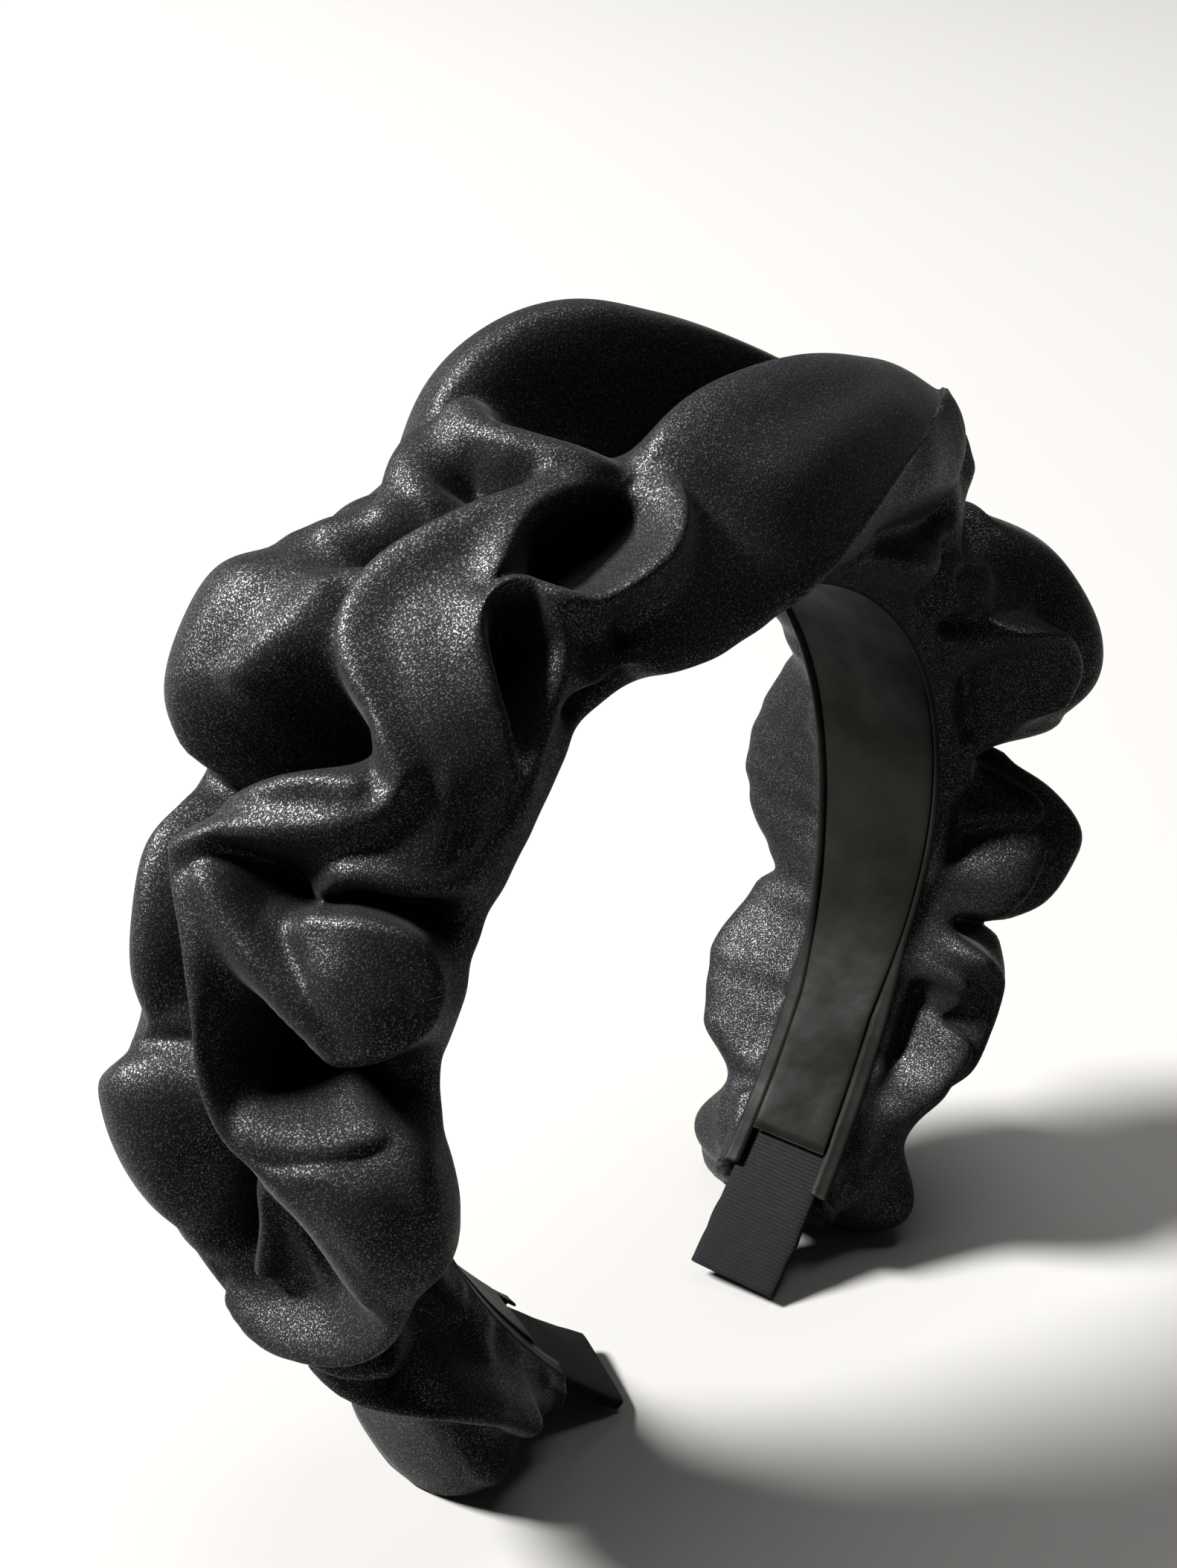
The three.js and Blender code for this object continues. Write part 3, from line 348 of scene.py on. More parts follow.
# %% Folds between the knot and the middle of the near arm
UPPER_NEAR_FOLDS = [
    ("upper winding crest", [0.5, 1], [
        [-0.115, 0.215, 0.62], [-0.135, 0.195, 0.68], [-0.154, 0.165, 0.74], [-0.18, 0.11, 0.8],
        [-0.208, 0.065, 0.84], [-0.232, 0.085, 0.86], [-0.25, 0.165, 0.86], [-0.268, 0.285, 0.84],
        [-0.283, 0.385, 0.8],
    ]),
    ("crest under puff", [0.6, 0.45], [
        [-0.283, 0.385, 0.8], [-0.301, 0.375, 0.78], [-0.318, 0.28, 0.78], [-0.332, 0.12, 0.82],
        [-0.345, -0.03, 0.88], [-0.358, -0.12, 0.92],
    ]),
    ("upper lobe", [1.4, 1.8], [
        [-0.212, -0.36, 0.85], [-0.235, -0.37, 1.08], [-0.27, -0.38, 1.08], [-0.3, -0.38, 0.98],
        [-0.322, -0.37, 0.75],
    ]),
    ("upper lobe belly", [0.9, 0.9], [
        [-0.222, -0.14, 0.78], [-0.25, -0.16, 0.85], [-0.278, -0.22, 0.85],
    ]),
    ("crease beside upper lobe", [0.25, 0.25], [
        [-0.2, -0.34, 0.3], [-0.212, -0.16, 0.4], [-0.226, -0.02, 0.5],
    ]),
    ("saddle rim", [0.5, 1], [
        [-0.192, -0.42, 0.6], [-0.17, -0.4, 0.62], [-0.148, -0.37, 0.5],
    ]),
    ("saddle valley", [0.45, 0.45], [
        [-0.198, -0.18, 0.1], [-0.182, -0.1, -0.1], [-0.168, -0.01, 0],
    ]),
    ("valley under upper lobe", [0.9, 0.9], [
        [-0.276, 0.22, 0.1], [-0.285, 0.12, -0.3], [-0.292, -0.02, -0.5], [-0.304, -0.16, -0.5],
        [-0.322, -0.3, -0.4], [-0.34, -0.42, -0.1],
    ]),
    ("small puff", [0.7, 0.7], [
        [-0.332, -0.05, 0.7], [-0.317, 0.06, 0.76], [-0.305, 0.17, 0.8], [-0.299, 0.28, 0.8],
    ]),
    ("groove under puff", [0.3, 0.3], [
        [-0.35, 0.0, 0.35], [-0.353, 0.1, 0.15], [-0.361, 0.2, 0.05], [-0.368, 0.28, 0.1],
    ]),
    ("strip below hook", [0.8, 0.3], [
        [-0.2, 0.31, 0.84], [-0.213, 0.34, 0.84], [-0.222, 0.39, 0.82], [-0.233, 0.45, 0.78],
        [-0.243, 0.52, 0.72], [-0.257, 0.585, 0.64], [-0.275, 0.61, 0.58],
    ]),
    ("strip body", [1.2, 1.2], [
        [-0.225, 0.22, 0.74], [-0.25, 0.34, 0.72], [-0.275, 0.46, 0.66], [-0.305, 0.5, 0.62],
    ]),
    ("strip body groove", [0.3, 0.3], [
        [-0.262, 0.44, 0.55], [-0.28, 0.52, 0.35], [-0.305, 0.58, 0.3],
    ]),
    ("inner sheet hollow", [0.45, 0.45], [
        [-0.19, 0.4, 0.2], [-0.207, 0.46, 0], [-0.222, 0.53, 0], [-0.24, 0.59, 0.1],
    ]),
    ("inner sheet rim", [0.35, 0.35], [
        [-0.178, 0.45, 0.78], [-0.18, 0.51, 0.72], [-0.193, 0.555, 0.62], [-0.213, 0.6, 0.55],
        [-0.24, 0.64, 0.52], [-0.27, 0.65, 0.54], [-0.3, 0.62, 0.56], [-0.325, 0.58, 0.6],
    ]),
    ("gap under hook", [0.45, 0.45], [
        [-0.15, 0.61, 0.1], [-0.165, 0.68, -0.1], [-0.193, 0.75, -0.1],
    ]),
    ("strip lower edge", [0.35, 0.5], [
        [-0.352, 0.3, 0.5], [-0.343, 0.33, 0.62], [-0.337, 0.38, 0.66], [-0.335, 0.45, 0.66],
        [-0.333, 0.53, 0.62], [-0.322, 0.6, 0.56],
    ]),
    ("gap under strip", [0.3, 0.3], [
        [-0.362, 0.36, 0.1], [-0.354, 0.43, 0], [-0.35, 0.52, 0], [-0.345, 0.63, 0],
    ]),
]
print(len(UPPER_NEAR_FOLDS), "folds wind down from the knot")

# %% Folds in the middle of the near arm
MIDDLE_NEAR_FOLDS = [
    ("long winding crest", [0.45, 0.4], [
        [-0.358, -0.12, 0.88], [-0.372, -0.11, 0.88], [-0.398, -0.01, 0.86], [-0.428, 0.07, 0.86],
        [-0.453, 0.105, 0.86], [-0.475, 0.17, 0.85], [-0.49, 0.26, 0.84], [-0.506, 0.345, 0.84],
        [-0.525, 0.43, 0.84], [-0.552, 0.49, 0.84], [-0.583, 0.52, 0.82],
    ]),
    ("middle pleat", [0.8, 0.5], [
        [-0.37, -0.02, 0.84], [-0.386, 0.08, 0.78], [-0.4, 0.21, 0.74], [-0.412, 0.32, 0.7],
        [-0.422, 0.4, 0.66],
    ]),
    ("middle pleat groove", [0.3, 0.3], [
        [-0.38, 0.17, 0.55], [-0.391, 0.27, 0.45], [-0.402, 0.37, 0.5],
    ]),
    ("middle lobe upper rim", [1.2, 0.4], [
        [-0.373, 0.33, 0.58], [-0.367, 0.42, 0.66], [-0.366, 0.5, 0.68], [-0.374, 0.57, 0.68],
        [-0.39, 0.6, 0.68], [-0.408, 0.58, 0.68], [-0.424, 0.52, 0.66], [-0.433, 0.45, 0.62],
    ]),
    ("middle lobe belly", [1.2, 1.2], [
        [-0.396, 0.42, 0.7], [-0.402, 0.5, 0.7],
    ]),
    ("middle hollow", [0.65, 0.65], [
        [-0.438, 0.2, 0], [-0.448, 0.3, -0.5], [-0.452, 0.43, -0.6], [-0.45, 0.58, -0.5],
    ]),
    ("back middle ridge", [1.4, 0.45], [
        [-0.35, -0.45, 0.55], [-0.375, -0.4, 0.72], [-0.41, -0.34, 0.75], [-0.44, -0.32, 0.72],
        [-0.462, -0.32, 0.62],
    ]),
    ("back middle valley", [0.4, 0.4], [
        [-0.37, -0.24, 0.1], [-0.395, -0.19, -0.2], [-0.425, -0.12, -0.35], [-0.452, -0.06, -0.2],
    ]),
    ("lower back lobe", [1.4, 1.2], [
        [-0.484, -0.31, 0.75], [-0.495, -0.27, 0.98], [-0.515, -0.24, 1], [-0.54, -0.21, 0.95],
        [-0.565, -0.185, 0.85], [-0.585, -0.165, 0.72],
    ]),
    ("pinch in lower back lobe", [0.25, 0.25], [
        [-0.466, -0.1, 0.2], [-0.47, -0.22, 0.3], [-0.478, -0.36, 0.4],
    ]),
    ("valley beside lower back lobe", [0.35, 0.35], [
        [-0.5, 0.08, 0.3], [-0.525, 0.12, 0], [-0.55, 0.1, -0.2], [-0.58, 0.02, -0.2],
    ]),
]
print(len(MIDDLE_NEAR_FOLDS), "folds in the middle of the near arm")

# %% Folds at the lower end of the near arm
LOWER_NEAR_FOLDS = [
    ("lower lobe top", [0.5, 1.4], [
        [-0.482, 0.26, 0.78], [-0.482, 0.36, 0.76], [-0.478, 0.46, 0.72], [-0.472, 0.54, 0.66],
    ]),
    ("lower lobe belly", [1.2, 1.2], [
        [-0.5, 0.42, 0.84], [-0.515, 0.5, 0.9], [-0.54, 0.56, 0.92], [-0.565, 0.58, 0.88],
    ]),
    ("lower lobe rim", [0.6, 0.45], [
        [-0.478, 0.6, 0.66], [-0.495, 0.63, 0.78], [-0.518, 0.635, 0.86], [-0.545, 0.62, 0.88],
        [-0.572, 0.595, 0.86], [-0.6, 0.555, 0.84], [-0.622, 0.5, 0.82], [-0.635, 0.41, 0.8],
        [-0.64, 0.28, 0.78], [-0.642, 0.13, 0.76], [-0.635, -0.02, 0.7],
    ]),
    ("hollow in lower lobe", [0.4, 0.4], [
        [-0.55, 0.34, 0.3], [-0.575, 0.4, 0.25], [-0.6, 0.43, 0.35],
    ]),
    ("ridge in lower lobe", [0.35, 0.35], [
        [-0.535, 0.22, 0.5], [-0.565, 0.2, 0.5], [-0.6, 0.14, 0.55],
    ]),
    ("back strip", [0.8, 0.4], [
        [-0.605, -0.15, 0.66], [-0.63, -0.11, 0.62], [-0.67, -0.06, 0.55], [-0.705, -0.01, 0.45],
        [-0.74, 0.04, 0.3],
    ]),
    ("groove over lower strip", [0.35, 0.35], [
        [-0.66, 0.05, 0.2], [-0.663, 0.25, 0], [-0.66, 0.45, -0.1], [-0.64, 0.6, -0.2],
    ]),
    ("lower strip", [0.4, 0.5], [
        [-0.68, 0.02, 0.5], [-0.69, 0.16, 0.52], [-0.69, 0.32, 0.52], [-0.688, 0.46, 0.48],
    ]),
    ("end strip rim", [0.6, 0.35], [
        [-0.71, 0.1, 0.5], [-0.714, 0.28, 0.58], [-0.716, 0.44, 0.64], [-0.73, 0.56, 0.66],
        [-0.755, 0.63, 0.62], [-0.785, 0.68, 0.56], [-0.82, 0.72, 0.5],
    ]),
    ("near end valley", [0.6, 0.6], [
        [-0.6, 0.7, -0.3], [-0.65, 0.68, -0.4], [-0.69, 0.7, -0.35], [-0.73, 0.78, -0.2],
    ]),
    ("near foot", [0.7, 0.9], [
        [-0.85, -0.55, 0.8], [-0.852, -0.36, 1.15], [-0.853, -0.1, 1.04], [-0.85, 0.15, 0.85],
        [-0.846, 0.38, 0.62],
    ]),
    ("slot over near foot", [0.45, 0.45], [
        [-0.765, 0.12, -0.1], [-0.772, 0.34, -0.5], [-0.787, 0.52, -0.5],
    ]),
]
print(len(LOWER_NEAR_FOLDS), "folds above the near tip")

# %% Folds of the far arm
FAR_FOLDS = [
    ("far upper lobe", [1, 1.3], [
        [0.285, 0.3, 0.55], [0.315, 0.36, 0.85], [0.345, 0.41, 1], [0.38, 0.44, 1.08],
        [0.41, 0.46, 1], [0.435, 0.47, 0.7],
    ]),
    ("notch over far upper lobe", [0.4, 0.4], [
        [0.265, 0.2, 0.3], [0.268, 0.45, 0.2], [0.255, 0.7, 0],
    ]),
    ("far lobe crease", [0.35, 0.35], [
        [0.29, 0.82, -0.3], [0.305, 0.7, 0.1], [0.325, 0.6, 0.5],
    ]),
    ("notch under far upper lobe", [0.5, 0.5], [
        [0.452, 0.15, 0.1], [0.463, 0.35, -0.2], [0.468, 0.55, -0.25], [0.462, 0.75, -0.2],
    ]),
    ("far middle lobe", [0.6, 0.9], [
        [0.487, 0.45, 0.3], [0.505, 0.48, 0.65], [0.532, 0.51, 0.92], [0.56, 0.53, 0.86],
        [0.59, 0.54, 0.7], [0.61, 0.54, 0.45],
    ]),
    ("far middle crease", [0.35, 0.35], [
        [0.54, 0.85, -0.4], [0.525, 0.74, -0.1], [0.518, 0.63, 0.4],
    ]),
    ("far lower lobe", [1, 1], [
        [0.635, 0.5, 0.4], [0.67, 0.53, 0.52], [0.72, 0.54, 0.5], [0.765, 0.54, 0.38],
    ]),
    ("far loop", [0.4, 0.4], [
        [0.64, 0.78, 0.45], [0.66, 0.68, 0.5], [0.7, 0.65, 0.52], [0.74, 0.7, 0.5],
        [0.76, 0.78, 0.4],
    ]),
    ("hollow in far loop", [0.4, 0.4], [
        [0.685, 0.82, -0.4], [0.705, 0.76, -0.2],
    ]),
    ("valley over far lower lobe", [0.4, 0.4], [
        [0.618, 0.2, 0.1], [0.622, 0.45, 0], [0.615, 0.75, -0.2],
    ]),
    ("far foot", [0.9, 0.7], [
        [0.85, -0.5, 0.75], [0.852, -0.34, 1.12], [0.853, -0.1, 1.04], [0.852, 0.15, 0.9],
        [0.85, 0.42, 0.75],
    ]),
    ("far back lobe", [0.7, 0.7], [
        [0.44, -0.74, 0.4], [0.5, -0.78, 0.7], [0.56, -0.78, 0.7], [0.6, -0.74, 0.4],
    ]),
    ("far back lower lobe", [0.7, 0.7], [
        [0.65, -0.7, 0.5], [0.71, -0.76, 0.7], [0.78, -0.76, 0.6],
    ]),
    ("far upper valley", [0.45, 0.45], [
        [0.247, 0.884, -0.3], [0.224, 0.707, -0.1], [0.276, 0.575, 0.3],
    ]),
    ("far upper lobe fold", [0.4, 0.3], [
        [0.3, 0.74, 0.6], [0.33, 0.66, 0.8], [0.37, 0.64, 0.85], [0.4, 0.66, 0.7],
    ]),
    ("far upper hollow", [0.35, 0.35], [
        [0.415, 0.869, -0.5], [0.374, 0.822, -0.4], [0.345, 0.784, 0],
    ]),
    ("far middle fold", [0.35, 0.35], [
        [0.532, 0.9, -0.6], [0.506, 0.838, -0.6], [0.493, 0.776, -0.5], [0.477, 0.722, -0.2],
    ]),
    ("far middle rim", [0.35, 0.35], [
        [0.5, 0.64, 0.5], [0.53, 0.68, 0.6], [0.565, 0.72, 0.55], [0.6, 0.74, 0.4],
    ]),
    ("far loop rim", [0.35, 0.3], [
        [0.658, 0.86, 0.25], [0.677, 0.79, 0.42], [0.721, 0.75, 0.5], [0.762, 0.79, 0.45],
        [0.798, 0.83, 0.3],
    ]),
    ("deep hollow in far loop", [0.5, 0.5], [
        [0.71, 0.88, -0.6], [0.745, 0.89, -0.6],
    ]),
]
print(len(FAR_FOLDS), "folds on the far arm")

# %% [markdown]
# The photograph hides the back of both arms. Broad, even gathers run in from the hem there, as
# they do on the side that shows.

# %% Folds at the back of both arms
BACK_FOLDS = [
    ("back gather 1", [0.6, 0.6], [
        [-0.72, -0.8, 0.3], [-0.7, -0.6, 0.5], [-0.68, -0.4, 0.4],
    ]),
    ("back gather 2", [0.6, 0.6], [
        [-0.55, -0.8, 0.3], [-0.56, -0.6, 0.5], [-0.58, -0.45, 0.4],
    ]),
    ("back gather 3", [0.6, 0.6], [
        [-0.4, -0.85, 0.3], [-0.37, -0.7, 0.5], [-0.36, -0.55, 0.4],
    ]),
    ("back gather 4", [0.6, 0.6], [
        [-0.24, -0.85, 0.3], [-0.26, -0.7, 0.5], [-0.27, -0.55, 0.4],
    ]),
    ("back gather 5", [0.7, 0.6], [
        [-0.07, -0.85, 0.3], [-0.05, -0.7, 0.5], [-0.04, -0.5, 0.5],
    ]),
    ("back gather 6", [0.6, 0.7], [
        [0.08, -0.85, 0.3], [0.06, -0.65, 0.5], [0.07, -0.45, 0.5],
    ]),
    ("back gather 7", [0.8, 0.8], [
        [0.2, -0.85, 0.3], [0.22, -0.6, 0.7], [0.2, -0.3, 0.7], [0.22, -0.05, 0.5],
    ]),
    ("back gather 8", [0.8, 0.8], [
        [0.37, -0.85, 0.3], [0.34, -0.6, 0.7], [0.35, -0.3, 0.8], [0.33, 0, 0.6],
    ]),
    ("back gather 9", [0.8, 0.8], [
        [0.52, -0.6, 0.5], [0.5, -0.25, 0.7], [0.53, 0.1, 0.6],
    ]),
    ("back gather 10", [0.8, 0.8], [
        [0.7, -0.5, 0.5], [0.7, -0.2, 0.6], [0.68, 0.1, 0.5],
    ]),
]
FOLDS = [
    *KNOT_FOLDS,
    *UPPER_NEAR_FOLDS,
    *MIDDLE_NEAR_FOLDS,
    *LOWER_NEAR_FOLDS,
    *FAR_FOLDS,
    *BACK_FOLDS,
]
print(len(FOLDS), "folds in all")

# %% [markdown]
# ## From folds to heights
#
# Each path becomes a smooth curve. A point of the cloth takes the mean of all the curves' heights
# and of the slack cloth, weighted by how near each curve is for its width. So the cloth comes
# close to each crest and each valley, and runs smoothly from one to the next. A crest with one
# flank steeper than the other also leans over on that side, because gathered cloth rolls over
# rather than standing as a ridge.

# %% Curves of the folds
CURVE_STEPS = 8  # points from one point of a path to the next
TINY = 1e-6  # keeps a division from meeting zero


def fold_curve(path):
    """A smooth curve through a path: x, y and rise in millimetres, on the flat cloth."""
    points = np.array(path, float) * (MAP_LENGTH, MAP_WIDTH, FOLD_RISE)
    ends = np.vstack([2 * points[0] - points[1], points, 2 * points[-1] - points[-2]])
    pieces = []
    for a, b, c, d in zip(ends, ends[1:], ends[2:], ends[3:]):
        t = np.arange(CURVE_STEPS)[:, None] / CURVE_STEPS
        pieces.append(b + (c - a) * t / 2 + (2 * a - 5 * b + 4 * c - d) * t**2 / 2
                      + (3 * b - a - 3 * c + d) * t**3 / 2)
    return np.vstack([*pieces, points[-1:]])


def near_curve(curve, x, y):
    """Distance to a curve and how far left of it (-1 to 1), with its rise and right-hand way."""
    distance, left, rise = np.full(x.shape, np.inf), np.zeros(x.shape), np.zeros(x.shape)
    right = np.zeros((*x.shape, 2))
    for (ax, ay, a_rise), (bx, by, b_rise) in zip(curve, curve[1:]):
        dx, dy = bx - ax, by - ay
        share = np.clip(((x - ax) * dx + (y - ay) * dy) / (dx * dx + dy * dy), 0, 1)
        gap_x, gap_y = x - ax - share * dx, y - ay - share * dy
        gap = np.hypot(gap_x, gap_y)
        nearer = gap < distance
        distance = np.where(nearer, gap, distance)
        length = math.hypot(dx, dy)
        side = (dx * gap_y - dy * gap_x) / (length * np.maximum(gap, TINY))
        left = np.where(nearer, side, left)
        rise = np.where(nearer, a_rise + (b_rise - a_rise) * share, rise)
        right[nearer] = (dy / length, -dx / length)
    return distance, left, rise, right


knot_curve = fold_curve(KNOT_FOLDS[0][2])
print("the knot's back rim is a curve of", len(knot_curve), "points")

# %% Height of the folds
NEARNESS_POWER = 3  # how strongly the nearest fold wins over the others
SLACK_WEIGHT = 1.6  # how strongly the slack cloth holds against the folds
CREST_ROUND = 1.0  # rounding of crests and valleys
OVERHANG = 9  # how far a one-sided crest leans over


def folded(along, across):
    """Heights of the folded cloth, and how far its crests lean over along and across it."""
    x, y = along * MAP_LENGTH, across * MAP_WIDTH
    weights, heights = np.full(x.shape, float(SLACK_WEIGHT)), np.zeros(x.shape)
    leans = np.zeros((*x.shape, 2))
    for _, slopes, path in FOLDS:
        distance, left, rise, right = near_curve(fold_curve(path), x, y)
        left_width, right_width = (width * FOLD_SLOPE for width in slopes)
        width = (left_width + right_width + left * (left_width - right_width)) / 2
        weight = (width / np.hypot(distance, CREST_ROUND)) ** NEARNESS_POWER
        weights += weight
        heights += weight * rise
        uneven = (left_width - right_width) / (left_width + right_width)
        leans += right * (weight * uneven * np.maximum(rise, 0) / FOLD_RISE)[..., None]
    return heights / weights, OVERHANG * leans / weights[..., None]


sample_height = folded(np.array([-0.06]), np.array([-0.29]))[0][0]
print("height at the knot's back rim:", round(float(sample_height), 1), "mm")

# %% [markdown]
# ## The slack arch
#
# Across the hoop the slack cloth is an oval arch from hem to hem, and the folds move it in and
# out from the middle of that arch. A valley may sink deep, but never into the band or the
# ribbons, so each place of the arch has a least radius too.

# %% Arch across the hoop
SECTION_CENTRE = 5  # height of the arch's middle over the band
PUFF_WIDTH = 22  # half width of the slack cloth at the crown
PUFF_HEIGHT = 11  # its height over the arch's middle
HEM_RUN = 0.22  # share of each side over which the cloth draws in to its hem
ABOVE_ANGLE = math.radians(35)  # angle from outward within which a fold may sink to the band


def slack_section(along, across):
    """Radius and angle of the slack arch, the height of its middle and its hem's distance."""
    centre = SECTION_CENTRE * read(PUFF, "centre", along)
    side = np.maximum(half_width(along), RIBBON_WIDTH / 2 + GAP) + GAP + CLOTH
    drop = -(BAND_THICKNESS / 2 + GAP + LINING_THICKNESS) - centre
    angle = across * np.arctan2(side, drop)
    width = PUFF_WIDTH * read(PUFF, "width", along)
    height = PUFF_HEIGHT * read(PUFF, "height", along)
    slack = 1 / np.hypot(np.sin(angle) / width, np.cos(angle) / height)
    drawn = smooth(1 - HEM_RUN, 1, np.abs(across))
    return slack + (np.hypot(side, drop) - slack) * drawn, angle, centre, side


def least_radius(angle, centre, side):
    """The radius that keeps the cloth off the band, the lining and the ribbons."""
    beside = side + CLOTH
    corner = np.arctan2(beside, sleeve_outside + CLOTH + GAP - centre)
    angle = np.abs(angle)
    wall = beside / np.sin(np.maximum(angle, ABOVE_ANGLE))
    return SECTION_CENTRE + (wall - SECTION_CENTRE) * smooth(ABOVE_ANGLE, corner, angle)


crown_radius = slack_section(np.array([0.0]), np.array([0.0]))[0]
print("slack cloth over the crown:", round(float(crown_radius[0]), 1), "mm above the arch's middle")

# %% [markdown]
# ## The ground
#
# The headband stands on the lowest puff of each arm's cover. The cloth is soft, so whatever would
# hang below the surface is pressed flat on it.

# %% Ground
STAND_GAP = 0.2  # tips over the surface that the cover stands on


def ground_height():
    """The surface that the headband stands on, just under the corners of its tips."""
    place = hoop_frame(np.array([1.0]))
    corners = [
        section_point(place, np.array([side * RIBBON_WIDTH / 2]), np.array([face * sleeve_outside]))
        for side in (-1, 1)
        for face in (-1, 1)
    ]
    return min(float(corner[0, 2]) for corner in corners) - STAND_GAP


print("surface, in mm from the top of the hoop:", round(ground_height(), 1))

# %% [markdown]
# ## Small gathers, hems and ends
#
# Stitches bunch the cloth up, so small gathers fan out from each hem. They could be a bump in the
# material, but then the outline beside the lining would be too smooth. The hem itself is turned
# under and tucks in beside the lining, and each end of the cover is drawn in round the ribbon.

# %% Small gathers
PUCKER_SEEDS = (3.5, 8.5)  # for the back hem and the front hem
BACK_PUCKER_DEPTH = 1.1
FRONT_PUCKER_DEPTH = 0.5
PUCKER_LENGTH = 4.2  # from one gather to the next
PUCKER_REACH = 0.45  # share of each side that the gathers reach over
PUCKER_FLAT = 0.04  # share of each side, beside the hem, where they flatten out


def puckers(along, across):
    """Small gathers that fan out from the stitches of each hem and die out towards the middle."""
    steps = np.arange(math.ceil(2 * MAP_LENGTH / PUCKER_LENGTH) + 2)
    place = (along + 1) * MAP_LENGTH / PUCKER_LENGTH
    index = np.floor(place).astype(int)
    share = smooth(0, 1, place - index)
    depths = []
    for seed in PUCKER_SEEDS:
        wave = np.array([noise.noise(Vector((step, seed, 0))) for step in steps])
        depths.append(wave[index] * (1 - share) + wave[index + 1] * share)
    inwards = 1 - np.abs(across)
    near_hem = (1 - smooth(0, PUCKER_REACH, inwards)) * smooth(0, PUCKER_FLAT, inwards)
    depth = np.where(across < 0, BACK_PUCKER_DEPTH * depths[0], FRONT_PUCKER_DEPTH * depths[1])
    return 2 * depth * near_hem


def eased(grid, passes):
    """Takes each inner value of a grid halfway to the mean of its four neighbours, repeatedly."""
    for _ in range(passes):
        around = grid[:-2, 1:-1] + grid[2:, 1:-1] + grid[1:-1, :-2] + grid[1:-1, 2:]
        grid[1:-1, 1:-1] = grid[1:-1, 1:-1] / 2 + around / 8
    return grid


print("gathers along one hem:", round(2 * cover_end * MAP_LENGTH / PUCKER_LENGTH))

# %% Hems and ends
HEM_ROLL = [(0.15, 0.2), (0.5, 0.35), (0.9, 0.35)]  # each row's way in and way down, past the hem
HEM_COLUMNS = len(HEM_ROLL) + 2  # with one row halfway to the lining and one beside it
HEM_GAP = 0.05  # between the turned hem and the lining's edge
END_TUCK = 1.5  # how far the drawn-in end lies past the cover's last row
END_GAP = 0.1  # between the drawn-in end and the ribbon


def turned_hem(place, along, side, end):
    """The last rows of cloth: they roll round the hem and tuck in against the lining's edge."""
    hem = BAND_THICKNESS / 2 + GAP + LINING_THICKNESS
    stepped = smooth(ribbon_start - LINING_RAMP, ribbon_start, np.abs(along))
    lining_middle = hem - LINING_THICKNESS / 2 + (sleeve_outside - BAND_THICKNESS / 2) * stepped
    rounded = [(side - inwards, hem + down) for inwards, down in HEM_ROLL]
    tucked = (lining_half(along) + HEM_GAP, lining_middle)
    halfway = ((rounded[-1][0] + tucked[0]) / 2, (rounded[-1][1] + lining_middle) / 2)
    rows = [*rounded, halfway, tucked]
    columns = [section_point(place, end * lateral, -depth + 0 * along) for lateral, depth in rows]
    return np.stack(columns if end > 0 else columns[::-1], axis=1)


def tucked_end(along, lateral, outwards):
    """One more row of cloth at an end of the cover, drawn in to the ribbon all round."""
    beside, above = RIBBON_WIDTH / 2 + END_GAP, sleeve_outside + END_GAP
    place = hoop_frame(along * (1 - END_TUCK / HALF_LENGTH))
    lateral = np.clip(lateral, -beside, beside)
    return section_point(place, lateral, np.clip(outwards, -above, above))[None]


print("each hem adds", HEM_COLUMNS, "rows of cloth")

# %% [markdown]
# ## The gathered cover
#
# The arch, the folds, the gathers, the hems and the ends come together in one grid of points.
# Near the hems the folds die out, because there the cloth is sewn down, and at the tips the cloth
# leans over its seam. The leans are eased before they are used, or a crest would cut into itself.

# %% Cover surface
COVER_ROWS = 561
COVER_COLUMNS = 221
EASE_PASSES = 4
LEAN_PASSES = 16
HEM_HOLD = 0.12  # share of each side that keeps to the hem, whatever the folds do
END_LEAN = math.radians(30)  # lean of the cloth towards the tip at its ends
END_LEAN_RUN = 0.13  # share of the length over which it comes to lean
END_RUN = 0.035  # share of the length over which the folds die out at each end


